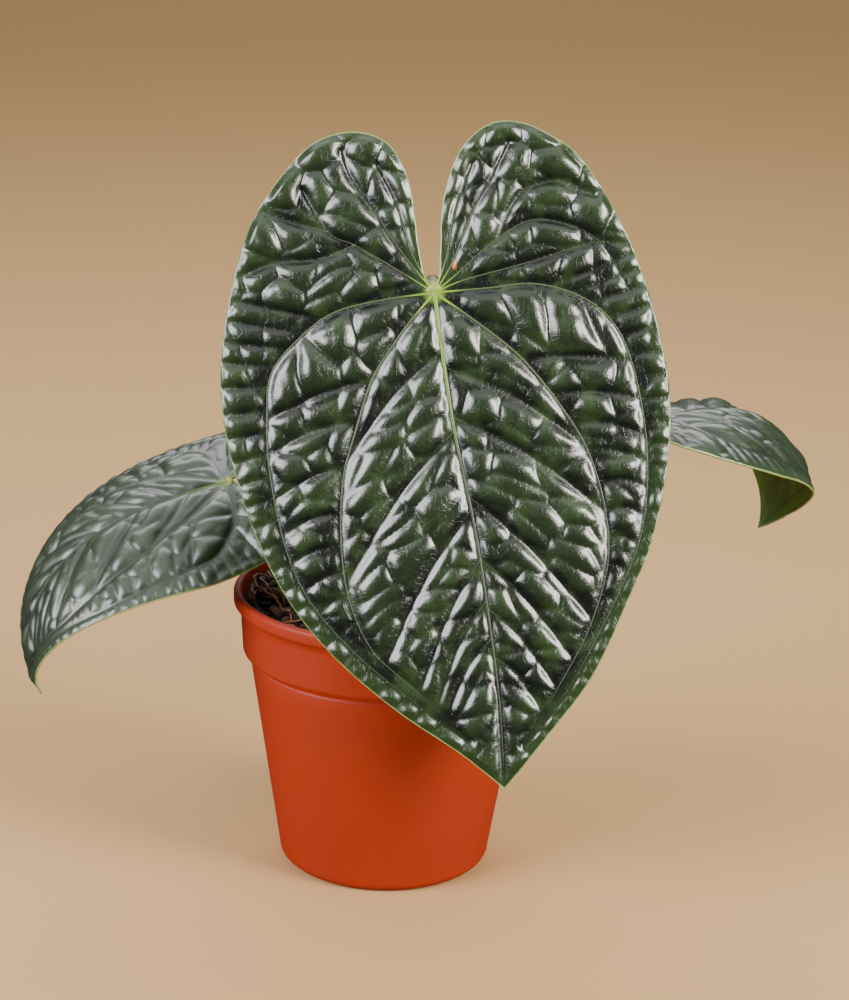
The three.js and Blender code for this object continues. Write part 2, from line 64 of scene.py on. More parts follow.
def add_camera():
    """Looks along +Y and down, turned a little about its own axis, as the photograph is."""
    data = bpy.data.cameras.new("portrait_camera")
    data.sensor_width = SENSOR_MM
    data.lens = SENSOR_MM * FOCAL_PX / FRAME_HEIGHT_PX
    camera = bpy.data.objects.new("portrait_camera", data)
    bpy.context.scene.collection.objects.link(camera)
    forward = np.array([0, math.cos(CAMERA_DOWN), -math.sin(CAMERA_DOWN)])
    level = np.array([1.0, 0, 0])
    upward = np.cross(level, forward)
    right = level * math.cos(CAMERA_ROLL) + upward * math.sin(CAMERA_ROLL)
    up = upward * math.cos(CAMERA_ROLL) - level * math.sin(CAMERA_ROLL)
    matrix = np.eye(4)
    matrix[:3, 0], matrix[:3, 1], matrix[:3, 2] = right, up, -forward
    matrix[:3, 3] = CAMERA_TARGET - forward * CAMERA_DISTANCE
    camera.matrix_world = Matrix(matrix.tolist())
    return camera


camera = add_camera()
bpy.context.scene.camera = camera
print("camera at", np.round(np.array(camera.matrix_world.translation), 3))

# %% [markdown]
# ## Colours and shader nodes
# Colours are written as the sRGB hex values that an eye or a paint chart gives, and one function turns them
# to the linear values that light is worked out in. One function adds a shader node with its settings and
# links, so that each material below reads as a list of what it is made of. Every material here ends in the
# same way, with a bump for its fine relief and one shader, so a second function holds that ending.

# %% Colours and shader nodes
MIX_A, MIX_B, MIX_RESULT = 6, 7, 2


def colour(code):
    """The linear RGBA of an sRGB hex code."""
    srgb = np.array([int(code[i:i + 2], 16) for i in (1, 3, 5)]) / 255
    linear = np.where(srgb <= 0.04045, srgb / 12.92, ((srgb + 0.055) / 1.055) ** 2.4)
    return (*linear.tolist(), 1.0)


def per_metre(size_mm):
    """The scale of a pattern whose repeat measures size_mm, for coordinates in metres."""
    return 1 / (size_mm * MM)


def add_node(tree, kind, inputs=None, **settings):
    """Adds a shader node: settings are its own options, inputs are numbers or the sockets linked to it."""
    made = tree.nodes.new(kind)
    for name, value in settings.items():
        setattr(made, name, value)
    for name, value in (inputs or {}).items():
        if isinstance(value, bpy.types.NodeSocket):
            tree.links.new(value, made.inputs[name])
        else:
            made.inputs[name].default_value = value
    return made


def start_material(name):
    """A material, its node tree, which holds no other node yet, and the coordinates that patterns follow."""
    material = bpy.data.materials.new(name)
    material.use_nodes = True
    tree = material.node_tree
    tree.nodes.clear()
    return material, tree, add_node(tree, "ShaderNodeTexCoord").outputs


def finish_material(tree, height, strength, depth_mm, sockets, under=None):
    """Ends a material: height raises a bump of depth_mm over the normal under it, below the shader."""
    relief = {"Height": height, "Strength": strength, "Distance": depth_mm * MM}
    if under is not None:
        relief["Normal"] = under
    bump = add_node(tree, "ShaderNodeBump", relief)
    shader = add_node(tree, "ShaderNodeBsdfPrincipled", {"Normal": bump.outputs[0], **sockets})
    add_node(tree, "ShaderNodeOutputMaterial", {"Surface": shader.outputs[0]})


# %% [markdown]
# ## From arrays to pieces
# Every shape below ends as an array of points and arrays of faces. A closed surface whose faces point out has
# a positive volume, so that sum tells whether a shape came out inside out, and turns it if it did.

# %% From arrays to pieces
PIECES = []


def signed_volume(points, groups):
    """A sixth of the sum, over all triangles, of corner one dot the cross product of the other two."""
    total = 0.0
    for faces in groups:
        for k in range(1, faces.shape[1] - 1):
            a, b, c = points[faces[:, 0]], points[faces[:, k]], points[faces[:, k + 1]]
            total += float(np.sum(a * np.cross(b, c))) / 6
    return total


def add_object(name, points, groups, smooth=True):
    """Puts a mesh of points in millimetres into the scene. Its object stays at the origin, unturned."""
    mesh = bpy.data.meshes.new(name)
    mesh.from_pydata((points * MM).tolist(), [], [face for faces in groups for face in faces.tolist()])
    if smooth:
        mesh.shade_smooth()
    made = bpy.data.objects.new(name, mesh)
    bpy.context.scene.collection.objects.link(made)
    return made


def add_piece(name, points, groups, material, slot, replaces=(), fields=None, uv=None):
    """Makes a mesh a piece of the plant. fields are numbers that its vertices carry."""
    points = np.asarray(points, float).reshape(-1, 3)
    volume = signed_volume(points - points.mean(0), groups)
    if volume < 0:
        groups = [faces[:, ::-1] for faces in groups]
    piece = add_object(name, points, groups)
    mesh = piece.data
    for key, values in (fields or {}).items():
        mesh.attributes.new(key, "FLOAT", "POINT").data.foreach_set("value", np.asarray(values, np.float32))
    if uv is not None:
        corners = np.zeros(len(mesh.loops), np.int32)
        mesh.loops.foreach_get("vertex_index", corners)
        layer = mesh.uv_layers.new(name="leaf")
        layer.data.foreach_set("uv", (uv[corners] * MM).astype(np.float32).ravel())
    mesh.materials.append(material)
    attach(piece, "root")
    if replaces:
        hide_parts(*replaces)
    triangles = sum(len(faces) * (faces.shape[1] - 2) for faces in groups)
    PIECES.append((name, triangles))
    print(f"{name}: {triangles} triangles, {abs(volume) / 1000:.1f} ml")
    return piece


def grid_faces(rows, columns, wrap=False):
    """The four-sided faces between neighbours in a grid. wrap joins its last column to its first."""
    index = np.arange(rows * columns).reshape(rows, columns)
    if wrap:
        index = np.hstack([index, index[:, :1]])
    quads = np.stack([index[:-1, :-1], index[:-1, 1:], index[1:, 1:], index[1:, :-1]], -1)
    return quads.reshape(-1, 4)


def ring_faces(rings, sides):
    """The faces of a row of rings, and a fan at each end. Its two middle points follow those of the rings."""
    here = np.arange(sides)
    after = np.roll(here, -1)
    last = (rings - 1) * sides
    foot, head = np.full(sides, rings * sides), np.full(sides, rings * sides + 1)
    fans = [np.stack([foot, after, here], -1), np.stack([head, last + here, last + after], -1)]
    return [grid_faces(rings, sides, wrap=True), np.vstack(fans)]


def ring_angles(sides):
    """Equal turns round a ring, in radians."""
    return np.arange(sides) / sides * 2 * math.pi


def join_parts(parts):
    """Joins (points, [quads, triangles]) parts into one list of points and two arrays of faces."""
    points = np.vstack([part[0] for part in parts])
    starts = np.cumsum([0] + [len(part[0]) for part in parts[:-1]])
    quads = np.vstack([part[1][0] + start for part, start in zip(parts, starts)])
    triangles = np.vstack([part[1][1] + start for part, start in zip(parts, starts)])
    return points, [quads, triangles]


# %% [markdown]
# ## Lines, turned bodies and tubes
# Three shapes make up most of the plain pieces. A smooth line goes through a few given points. A turned
# body carries a profile round the pot's axis. A tube carries a ring along a path, with a radius of its own at
# each point. Both bodies are rows of rings that a fan closes at each end, so one function gives their faces.

# %% Lines, turned bodies and tubes
FINE_STEPS = 24


def walked(line):
    """How far along the line each of its points lies."""
    return np.concatenate([[0], np.cumsum(np.linalg.norm(np.diff(line, axis=0), axis=1))])


def cut_into(line, count):
    """The line again, as count equal steps."""
    lengths = walked(line)
    places = np.linspace(0, lengths[-1], count + 1)
    return np.stack([np.interp(places, lengths, line[:, k]) for k in range(line.shape[1])], -1)


def cut_evenly(line, step):
    """The line again, as points that lie about step apart along it."""
    return cut_into(line, max(2, round(walked(line)[-1] / step)))


def cubic(start, end, leave, arrive):
    """Cubic curves from start to end, which leave and arrive along two given vectors."""
    t = (np.arange(FINE_STEPS) / FINE_STEPS)[None, :, None]
    return (start * (2 * t**3 - 3 * t**2 + 1) + end * (3 * t**2 - 2 * t**3)
            + leave * (t**3 - 2 * t**2 + t) + arrive * (t**3 - t**2))


def smooth_line(points, step):
    """A Catmull-Rom curve through the points: each stretch leaves and arrives along its neighbours' chord."""
    points = np.asarray(points, float)
    p = np.vstack([points[:1], points, points[-1:]])
    before, start, end, after = (p[k:len(p) - 3 + k, None] for k in range(4))
    curve = cubic(start, end, (end - before) / 2, (after - start) / 2)
    return cut_evenly(np.vstack([curve.reshape(-1, points.shape[1]), points[-1:]]), step)


def turned_body(profile, sides):
    """Carries a profile of (radius, height), which starts and ends on the axis, round the axis."""
    profile = np.asarray(profile, float)
    turn = ring_angles(sides)
    rings = profile[1:-1]
    x, y = rings[:, :1] * np.cos(turn), rings[:, :1] * np.sin(turn)
    body = np.stack([x, y, np.broadcast_to(rings[:, 1:], x.shape)], -1).reshape(-1, 3)
    ends = [[0, 0, profile[0, 1]], [0, 0, profile[-1, 1]]]
    return np.vstack([body, ends]), ring_faces(len(rings), sides)


def tube(path, radii, sides, squareness=0.0, across=None):
    """Carries a ring along a path. squareness presses the ring towards a square with soft corners."""
    path = np.asarray(path, float)
    along = np.gradient(path, axis=0)
    along /= np.linalg.norm(along, axis=1, keepdims=True)
    if across is None:
        across = np.eye(3)[np.argmin(np.abs(along).max(0))]
    first = np.cross(along, across)
    first /= np.linalg.norm(first, axis=1, keepdims=True)
    second = np.cross(along, first)
    turn = ring_angles(sides)
    reach = np.asarray(radii, float)[:, None] * (1 + squareness * np.cos(4 * turn))
    ring = first[:, None] * np.cos(turn)[None, :, None] + second[:, None] * np.sin(turn)[None, :, None]
    body = (path[:, None] + ring * reach[..., None]).reshape(-1, 3)
    return np.vstack([body, path[:1], path[-1:]]), ring_faces(len(path), sides)


# %% [markdown]
# ## The outline and the veins of a leaf
# A leaf is drawn flat first, face on and with its tip down: across is + to the right, along is + from the
# junction with the stalk towards the tip. The five main veins run out of the junction, and the arching ones
# meet again near the tip. Side veins join the midrib to them, and cross veins join the arching ones.

# %% The outline of a leaf
JUNCTION = [0, 0]
SINUS_FOOT = [0, -2]
TIP = [0, 181]
LEFT_EDGE = [
    SINUS_FOOT, [-2.6, -6], [-3.2, -16], [-3, -28], [-3.6, -42], [-8, -54], [-16, -60], [-26, -61.5],
    [-37, -58.5], [-49, -49], [-62, -34], [-71, -15], [-78, 6], [-82, 30], [-80, 58], [-74, 86], [-65, 108],
    [-52, 128], [-34, 148], [-14, 166], TIP,
]
RIGHT_EDGE = [
    SINUS_FOOT, [2.6, -6], [4.4, -16], [7, -30], [12.5, -43.5], [19, -52], [28, -57.3], [38, -56.8],
    [47, -52], [59, -41], [70, -17], [76, 6], [79, 30], [79, 50], [75, 72], [66, 98], [54, 119], [37, 145],
    [17, 165], TIP,
]
EDGES = {"left": smooth_line(LEFT_EDGE, 0.5), "right": smooth_line(RIGHT_EDGE, 0.5)}
OUTLINE = np.vstack([EDGES["left"][:-1], EDGES["right"][:0:-1]])
print("leaf", np.ptp(OUTLINE, axis=0).round(), "mm across and along")

# %% The veins of a leaf
MIDRIB = [JUNCTION, [0, 46], [2.5, 86], [3, 117], [2.5, 150], TIP]
INNER = {
    "left": [JUNCTION, [-13, 12], [-26, 27], [-34, 43], [-42, 62], [-46, 85], [-46, 105], [-41, 123],
             [-33, 134], [-15, 154]],
    "right": [JUNCTION, [14, 13], [28, 28], [40, 48], [47, 65], [50, 86], [48, 106], [38, 128], [25, 146],
              [12, 162]],
}
OUTER = {
    "left": [JUNCTION, [-20, 0], [-37, 2], [-50, 9], [-62, 20], [-66, 35], [-68, 56], [-66, 84], [-60, 104],
             [-47, 124], [-30, 143], [-10, 162]],
    "right": [JUNCTION, [19, 1], [37, 2], [54, 10], [64, 23], [68, 43], [68, 68], [63, 93], [54, 111],
              [40, 132], [26, 150], [9, 166]],
}
LOBE_VEINS = [
    [JUNCTION, [-12, -10], [-26, -21], [-35, -27], [-42, -43]],
    [JUNCTION, [-9, -15], [-17, -31], [-24, -45], [-26, -55]],
    [JUNCTION, [-6, -15], [-9, -33], [-14, -48]],
    [[-26, -21], [-40, -18], [-55, -19], [-68, -16]],
    [[-35, -27], [-48, -33], [-56, -38]],
    [JUNCTION, [11, -3], [34, -6], [59, -10], [72, -8]],
    [JUNCTION, [8, -5], [25, -16], [41, -21], [60, -12], [69, 6]],
    [JUNCTION, [8, -10], [17, -26], [26, -38], [34, -50]],
    [JUNCTION, [6, -12], [11, -27], [20, -44]],
    [[25, -16], [36, -31], [50, -34], [62, -27]],
]
SIDE_VEINS = {
    "left": [[21, 56], [50, 99], [79, 130], [97, 142], [112, 148], [126, 152]],
    "right": [[27, 62], [45, 86], [74, 124], [97, 138], [115, 147], [133, 155]],
}
CROSS_VEINS = {
    "left": [[27, 37], [42, 49], [57, 66], [74, 79], [85, 90], [95, 100], [104, 109], [114, 118], [125, 131]],
    "right": [[28, 34], [42, 48], [53, 61], [64, 71], [75, 80], [86, 90], [96, 100], [106, 110], [116, 120],
              [126, 132]],
}
MARGIN_VEIN_STEP, MARGIN_VEIN_START, MARGIN_VEIN_END = 8, 26, 6
SIDE_BOW, CROSS_BOW = -4, -2
FAR_OFF = 1000
HALF_WIDTH = {"midrib": 0.72, "inner": 0.48, "outer": 0.36, "lobe": 0.26, "branch": 0.18, "side": 0.18,
              "cross": 0.14, "margin": 0.12}


def point_at(line, along):
    """The point of a vein that lies a given length below the junction. Points above the junction are out."""
    return line[np.argmin(np.abs(line[:, 1] - along) + FAR_OFF * (line[:, 1] < 0))]


def bowed(start, end, bow):
    """A vein that leaves one vein, bows towards the tip and meets the next."""
    return smooth_line([start, (start + end) / 2 + [0, bow], end], 1)


def draw_veins():
    """Every vein with the half-width of its rib at its start: main, side, cross and margin veins."""
    midrib = smooth_line(MIDRIB, 1)
    main = [(midrib, HALF_WIDTH["midrib"])]
    side = [(smooth_line(points, 1), HALF_WIDTH["lobe" if points[0] == JUNCTION else "branch"])
            for points in LOBE_VEINS]
    fine = []
    for half in ("left", "right"):
        inner, outer = smooth_line(INNER[half], 1), smooth_line(OUTER[half], 1)
        main += [(inner, HALF_WIDTH["inner"]), (outer, HALF_WIDTH["outer"])]
        side += [(bowed(point_at(midrib, a), point_at(inner, b), SIDE_BOW), HALF_WIDTH["side"])
                 for a, b in SIDE_VEINS[half]]
        fine += [(bowed(point_at(inner, a), point_at(outer, b), CROSS_BOW), HALF_WIDTH["cross"])
                 for a, b in CROSS_VEINS[half]]
        starts = outer[MARGIN_VEIN_START:-MARGIN_VEIN_END:MARGIN_VEIN_STEP]
        apart = np.linalg.norm(starts[:, None] - EDGES[half][None], axis=-1)
        ends = EDGES[half][np.argmin(apart, 1)]
        fine += [(cut_evenly(np.stack([a, b]), 1), HALF_WIDTH["margin"]) for a, b in zip(starts, ends)]
    return {"main": main, "side": side, "fine": fine}


VEINS = draw_veins()
print({kind: len(lines) for kind, lines in VEINS.items()}, "veins")

# %% [markdown]
# ## Maps of a leaf
# The relief is worked out on a map: a raster over the flat leaf with a point every half millimetre. Here each
# map point learns how far it is from the veins and from the edge, and whether it is inside. The third order
# of veins is too fine to draw by hand. It divides the panels into cells, which are the regions round randomly
# placed points, with their borders where two such points are equally near.

# %% Maps of a leaf
MAP_STEP = 0.5
EDGE_REACH, VEIN_REACH = 9, 3
OUTLINE_SKIP = 4
TILE = 64
JITTER = 0.85
MAP_X = np.arange(-88, 88.1, MAP_STEP)
MAP_Y = np.arange(-68, 187.1, MAP_STEP)
GRID_X, GRID_Y = np.meshgrid(MAP_X, MAP_Y)


def distance_map(lines, reach):
    """The distance from each map point to the nearest point of the lines, where it is under reach."""
    samples = np.vstack([cut_evenly(line, MAP_STEP) for line in lines])
    cells = np.rint((samples - [MAP_X[0], MAP_Y[0]]) / MAP_STEP).astype(int)
    window = np.arange(-int(reach / MAP_STEP), int(reach / MAP_STEP) + 1)
    dx, dy = (axis.ravel() for axis in np.meshgrid(window, window))
    columns = np.clip(cells[:, :1] + dx, 0, len(MAP_X) - 1)
    rows = np.clip(cells[:, 1:] + dy, 0, len(MAP_Y) - 1)
    far = np.hypot(MAP_X[columns] - samples[:, :1], MAP_Y[rows] - samples[:, 1:])
    found = np.full(GRID_X.shape, float(reach))
    np.minimum.at(found, (rows, columns), far)
    return found


def inside_map(outline):
    """Whether a map point is inside: a ray from it crosses the outline an odd number of times."""
    inside = np.zeros(GRID_X.shape, bool)
    coarse = outline[::OUTLINE_SKIP]
    for a, b in zip(coarse, np.roll(coarse, -1, axis=0)):
        if a[1] == b[1]:
            continue
        rows = (a[1] > MAP_Y) != (b[1] > MAP_Y)
        crossing = (b[0] - a[0]) * (MAP_Y[rows] - a[1]) / (b[1] - a[1]) + a[0]
        inside[rows] ^= GRID_X[rows] < crossing[:, None]
    return inside


def cell_borders(x, y, size, seed):
    """How much further the second nearest random point is than the nearest: zero on the border of a cell."""
    offset = np.random.default_rng(seed).uniform(-JITTER / 2, JITTER / 2, (TILE, TILE, 2))
    i, j = np.floor(x / size).astype(int), np.floor(y / size).astype(int)
    apart = []
    for di in (-1, 0, 1):
        for dj in (-1, 0, 1):
            own = offset[(i + di) % TILE, (j + dj) % TILE]
            dx = (i + di + 0.5 + own[..., 0]) * size - x
            dy = (j + dj + 0.5 + own[..., 1]) * size - y
            apart.append(np.hypot(dx, dy))
    apart = np.sort(np.stack(apart), axis=0)
    return apart[1] - apart[0]


INSIDE = inside_map(OUTLINE)
TO_EDGE = distance_map([OUTLINE], EDGE_REACH)
TO_VEIN = {kind: distance_map([line for line, _ in lines], VEIN_REACH) for kind, lines in VEINS.items()}
print("map of", GRID_X.shape, "points,", int(INSIDE.sum()), "inside the leaf")

# %% [markdown]
# ## The quilted relief
# A padded cover bulges where nothing holds it and is pinched in along its seams. A thin skin under even
# pressure does the same, so the relief is the height of such a skin: at each point the height is the mean
# of its four neighbours plus a push, divided by how firmly the veins hold it there. Working that out again
# and again lets the domes settle. The main veins hold firmly, and finer veins hold less. This is done twice:
# once for the large panels between the drawn veins, and once with the cells as well. The two are added, so
# a panel is one broad swelling with small domes on it.

# %% The quilted relief
PUSH = 0.17
HOLD = 0.02
SETTLE_ROUNDS = 300
EVENNESS = 0.85
FULL_HEIGHT_PERCENT = 97
OUTSIDE_FIRMNESS = 0.4
PANEL_SHARE = 0.42
FIRMNESS = {"main": (120, 0.7), "side": (60, 0.55), "fine": (22, 0.45)}
CELL_FIRMNESS, CELL_CREASE = 8, 0.6
SMALL_SHARE, SMALL_FIRMNESS, SMALL_CREASE = 0.46, 0.25, 0.6
CELL_WIDE, CELL_LONG = 0.85, 1.4
CELL_LEAN, CELL_BEND, LEAN_START = 0.95, 0.006, 30
HALVES_APART = 30
WAVES_ACROSS, WAVES_ALONG, WAVE_HEIGHTS = (9, 3.7), (8, 4.1), (1.6, 0.8)
UNEVEN, UNEVEN_ACROSS, UNEVEN_ALONG = 0.7, 10, 12
RIM_HEIGHT, RIM_WIDTH = 0.3, 4


def settle(firmness, rounds, step, start):
    """Height of a pressed skin: the mean of the neighbours plus the push, over one plus the firmness."""
    height = start
    for _ in range(rounds):
        padded = np.pad(height, 1)
        around = padded[:-2, 1:-1] + padded[2:, 1:-1] + padded[1:-1, :-2] + padded[1:-1, 2:]
        height = (around + PUSH * step**2) / (4 + (HOLD + firmness) * step**2)
    return height


def relax(firmness):
    """Settles the skin on every second map point, then on all, and brings its domes to a height of 1."""
    held = np.where(INSIDE, firmness, OUTSIDE_FIRMNESS)
    second = held[::2, ::2]
    rough = settle(second, SETTLE_ROUNDS, 2 * MAP_STEP, np.zeros(second.shape))
    start = np.repeat(np.repeat(rough, 2, 0), 2, 1)[:GRID_X.shape[0], :GRID_X.shape[1]]
    height = settle(held, SETTLE_ROUNDS // 2, MAP_STEP, start)
    return (height / np.percentile(height[INSIDE], FULL_HEIGHT_PERCENT)) ** EVENNESS


def wavy(place, other, lengths, shifts):
    """Moves places to and fro by a long and a short sine wave that run along the other direction."""
    for height, length, shift in zip(WAVE_HEIGHTS, lengths, shifts):
        place = place + height * np.sin(other / length + shift)
    return place


def make_relief(cell_size, seed, crown, grip):
    """The heights of one leaf's upper side: domes crown high, which the finer veins pull in by their grip."""
    firmness = np.zeros(GRID_X.shape)
    for kind, (firm, width) in FIRMNESS.items():
        firmness += firm * (1 if kind == "main" else grip) * np.exp(-(TO_VEIN[kind] / width) ** 2)
    panels = relax(firmness)
    shifts = np.random.default_rng(seed).uniform(0, 2 * math.pi, 4)
    x = wavy(GRID_X, GRID_Y, WAVES_ACROSS, shifts[:2])
    y = wavy(GRID_Y, GRID_X, WAVES_ALONG, shifts[2:])
    out = np.abs(x)
    slant = (CELL_LEAN - CELL_BEND * out) * out * np.clip(y / LEAN_START, 0, 1)
    y = np.where(y > 0, y * CELL_LONG, y) - slant
    x = out * CELL_WIDE + HALVES_APART * cell_size * (x < 0)
    coarse = cell_borders(x, y, cell_size, seed)
    small = cell_borders(x, y, cell_size * SMALL_SHARE, seed + 1)
    uneven = np.sin(GRID_X / UNEVEN_ACROSS + shifts[1]) * np.sin(GRID_Y / UNEVEN_ALONG + shifts[3])
    firmness += CELL_FIRMNESS * (1 + UNEVEN * uneven) * np.exp(-(coarse / CELL_CREASE) ** 2)
    firmness += SMALL_FIRMNESS * np.exp(-(small / SMALL_CREASE) ** 2)
    height = crown * ((1 - PANEL_SHARE) * relax(firmness) + PANEL_SHARE * panels)
    return height * np.minimum(1, RIM_HEIGHT + TO_EDGE / RIM_WIDTH)


def read_map(table, across, along):
    """Reads a map between its points, by the share of the way from one to the next."""
    column = np.clip((across - MAP_X[0]) / MAP_STEP, 0, len(MAP_X) - 1.001)
    row = np.clip((along - MAP_Y[0]) / MAP_STEP, 0, len(MAP_Y) - 1.001)
    i, j = row.astype(int), column.astype(int)
    u, v = row - i, column - j
    near = table[i, j] * (1 - v) + table[i, j + 1] * v
    far = table[i + 1, j] * (1 - v) + table[i + 1, j + 1] * v
    return near * (1 - u) + far * u


# %% [markdown]
# ## Where each leaf hangs
# A leaf is placed by its junction, the way its midrib leaves it and the way its upper side faces there. From
# there the midrib is walked in steps of a millimetre, and each step turns a little: it droops, sways and
# twists. Across the midrib the blade is bent to an arc. A width below zero mirrors the leaf. The front leaf
# hangs almost flat towards the viewer, and the two smaller ones arch over and fold lengthwise like a roof.

# %% Where each leaf hangs
LEAVES = {
    "front": {
        "junction": [14, -28, 232], "along": [0.168, -0.288, -0.943], "facing": [0, -0.956, 0.292],
        "scale": 1, "wide": 1, "droop": 5, "sway": 0, "twist": 0, "fold": 0.0012,
        "crown": 3.6, "grip": 1, "cells": 12, "seed": 3, "rows": (240, 120), "columns": 104,
        "scars": [(8.5, -9, 1.1, 2.2), (0, -4.5, 1.9, 1.8)],
    },
    "left": {
        "junction": [-64.1, 4.3, 149], "along": [-0.944, -0.241, -0.223], "facing": [-0.108, -0.412, 0.905],
        "scale": 0.693, "wide": -0.8, "droop": 102.6, "sway": 21.5, "twist": 18.7, "fold": 0.0109,
        "crown": 2.4, "grip": 0.2, "cells": 21, "seed": 8, "rows": (180, 80), "columns": 72, "scars": [],
    },
    "right": {
        "junction": [100.1, 14.5, 176.3], "along": [0.748, 0.663, 0.041], "facing": [-0.127, 0.083, 0.988],
        "scale": 0.644, "wide": 1, "droop": 138.5, "sway": -12.9, "twist": 32.7, "fold": 0.0127,
        "crown": 2.1, "grip": 0.15, "cells": 23, "seed": 15, "rows": (180, 80), "columns": 72, "scars": [],
    },
}
LOBE_REACH = 66
THICKNESS = 0.7


def unit(vector):
    """The vector at length one."""
    return np.asarray(vector, float) / np.linalg.norm(vector)


def walk_midrib(leaf, step, reach):
    """The distance, place, direction, facing and sideways vector at each step along the midrib."""
    t = unit(leaf["along"])
    n = np.asarray(leaf["facing"], float)
    n = unit(n - t * np.dot(n, t))
    place = np.asarray(leaf["junction"], float)
    length = TIP[1] * leaf["scale"]
    per_mm = math.radians(1) / length
    rows = []
    for k in range(int(reach) + 1):
        a = k * step
        w = np.cross(n, t)
        rows.append(np.concatenate([[a], place, t, n, w]))
        droop = 2 * leaf["droop"] * per_mm * (a / length)
        next_t = t - n * droop * step + w * leaf["sway"] * per_mm * step
        next_n = n + t * droop * step - w * leaf["twist"] * per_mm * step
        t = unit(next_t)
        n = unit(next_n - t * np.dot(next_n, t))
        place = place + t * step
    return np.array(rows)


def leaf_frames(leaf):
    """The frames from the tops of the lobes, through the junction, to the tip."""
    down = walk_midrib(leaf, 1, TIP[1] * leaf["scale"] + 2)
    up = walk_midrib(leaf, -1, LOBE_REACH * leaf["scale"])
    return np.vstack([up[:0:-1], down])


def place_on_leaf(leaf, across, along, height):
    """Bends a flat leaf point into space: along the midrib's frames, then round an arc across it."""
    frames = leaf_frames(leaf)
    at = np.asarray(along) * leaf["scale"]
    values = [np.interp(at, frames[:, 0], frames[:, k]) for k in (1, 2, 3, 7, 8, 9, 10, 11, 12)]
    place, n, w = (np.stack(values[k:k + 3], -1) for k in (0, 3, 6))
    turn = (leaf["fold"] * np.asarray(across) * leaf["scale"] * leaf["wide"])[..., None]
    normal = n * np.cos(turn) + w * np.sin(turn)
    bend = w * np.sin(turn) / leaf["fold"] + n * (np.cos(turn) - 1) / leaf["fold"]
    return place + bend + normal * np.asarray(height)[..., None]


# %% [markdown]
# ## The blade
# Each half of a blade is a grid between two lines: one runs up the midrib and on along the notch between the
# lobes, and the other follows the margin. Straight rows join them. The upper side takes every point of the
# grid, the underside every second one, and a narrow wall joins the two round the margin.

# %% The blade
LOBE_SHOULDER = 4
WELD_DECIMALS = 3


def half_grid(half, rows, columns):
    """Flat points of half a leaf: rows from the midrib and the notch's edge out to the margin."""
    on_midrib, on_lobe = rows
    edge = EDGES[half]
    top = int(np.argmin(edge[:, 1]))
    shoulder = top + int(np.argmin(np.abs(edge[top:, 1] - LOBE_SHOULDER)))
    midrib = np.vstack([smooth_line(MIDRIB, 0.5)[::-1], [SINUS_FOOT]])
    margin, lobe = edge[shoulder:][::-1], edge[top:shoulder + 1][::-1]
    inner = np.vstack([cut_into(midrib, on_midrib), cut_into(edge[:top + 1], on_lobe)[1:]])
    outer = np.vstack([cut_into(margin, on_midrib), cut_into(lobe, on_lobe)[1:]])
    share = np.linspace(0, 1, columns + 1)[None, :, None]
    return inner[:, None] * (1 - share) + outer[:, None] * share


def split(quads):
    """Two triangles for each four-sided face."""
    return np.vstack([quads[:, [0, 1, 2]], quads[:, [0, 2, 3]]])


def wall_faces(top, low):
    """Triangles between an edge with every point and the one below it with every second point."""
    t0, t1, t2 = top[:-1:2], top[1::2], top[2::2]
    b0, b1 = low[:-1], low[1:]
    return np.vstack([np.stack(f, -1) for f in ((t0, b0, t1), (t1, b0, b1), (t1, b1, t2))])


def blade_mesh(leaf):
    """Flat points, side (0 above, 1 below) and triangles of a whole blade, welded where its parts meet."""
    flat, side, faces = [], [], []
    start = 0
    notch = leaf["rows"][0]
    for half in ("left", "right"):
        grid = half_grid(half, leaf["rows"], leaf["columns"])
        under = grid[::2, ::2]
        upper_count, under_count = grid[..., 0].size, under[..., 0].size
        index = start + np.arange(upper_count).reshape(grid.shape[:2])
        low = start + upper_count + np.arange(under_count).reshape(under.shape[:2])
        part = np.vstack([
            split(grid_faces(*grid.shape[:2])) + start,
            split(grid_faces(*under.shape[:2]))[:, ::-1] + low[0, 0],
            wall_faces(index[:, -1], low[:, -1]),
            wall_faces(index[notch:, 0], low[notch // 2:, 0])[:, ::-1],
        ])
        faces.append(part if half == "left" else part[:, ::-1])
        flat += [grid.reshape(-1, 2), under.reshape(-1, 2)]
        side += [np.zeros(upper_count), np.ones(under_count)]
        start += upper_count + under_count
    flat, side, faces = np.vstack(flat), np.concatenate(side), np.vstack(faces)
    keys = np.round(np.column_stack([flat, side * 10]), WELD_DECIMALS)
    _, first, welded = np.unique(keys, axis=0, return_index=True, return_inverse=True)
    faces = welded.reshape(-1)[faces]
    whole = (faces[:, 0] != faces[:, 1]) & (faces[:, 1] != faces[:, 2]) & (faces[:, 2] != faces[:, 0])
    return flat[first], side[first], faces[whole]


def add_blade(name, material, slot):
    """One blade with its relief, and the numbers that its material reads."""
    leaf = LEAVES[name]
    relief = make_relief(leaf["cells"], leaf["seed"], leaf["crown"], leaf["grip"])
    flat, side, faces = blade_mesh(leaf)
    across, along = flat.T
    swell = read_map(relief, across, along)
    points = place_on_leaf(leaf, across, along, swell - THICKNESS * side)
    scar = np.zeros(len(across))
    for x, y, wide, long in leaf["scars"]:
        scar += np.exp(-((across - x) / wide) ** 2 - ((along - y) / long) ** 2)
    fields = {"swell": swell / leaf["crown"], "margin": read_map(TO_EDGE, across, along) * leaf["scale"],
              "under": side, "spread": np.hypot(across, along), "scar": scar}
    add_piece(f"quilted_blade_{name}", points, [faces], material, slot, [f"blade_{name}"], fields, flat)
    return relief


# %% [markdown]
# ## The ribs
# The veins are round cords of tissue in the blade. Above, they lie in the creases as low pale lines. Below,
# they stand out. Each is a closed tube whose upper half is flat and whose lower half is deep, and all of a
# leaf's ribs are one piece.

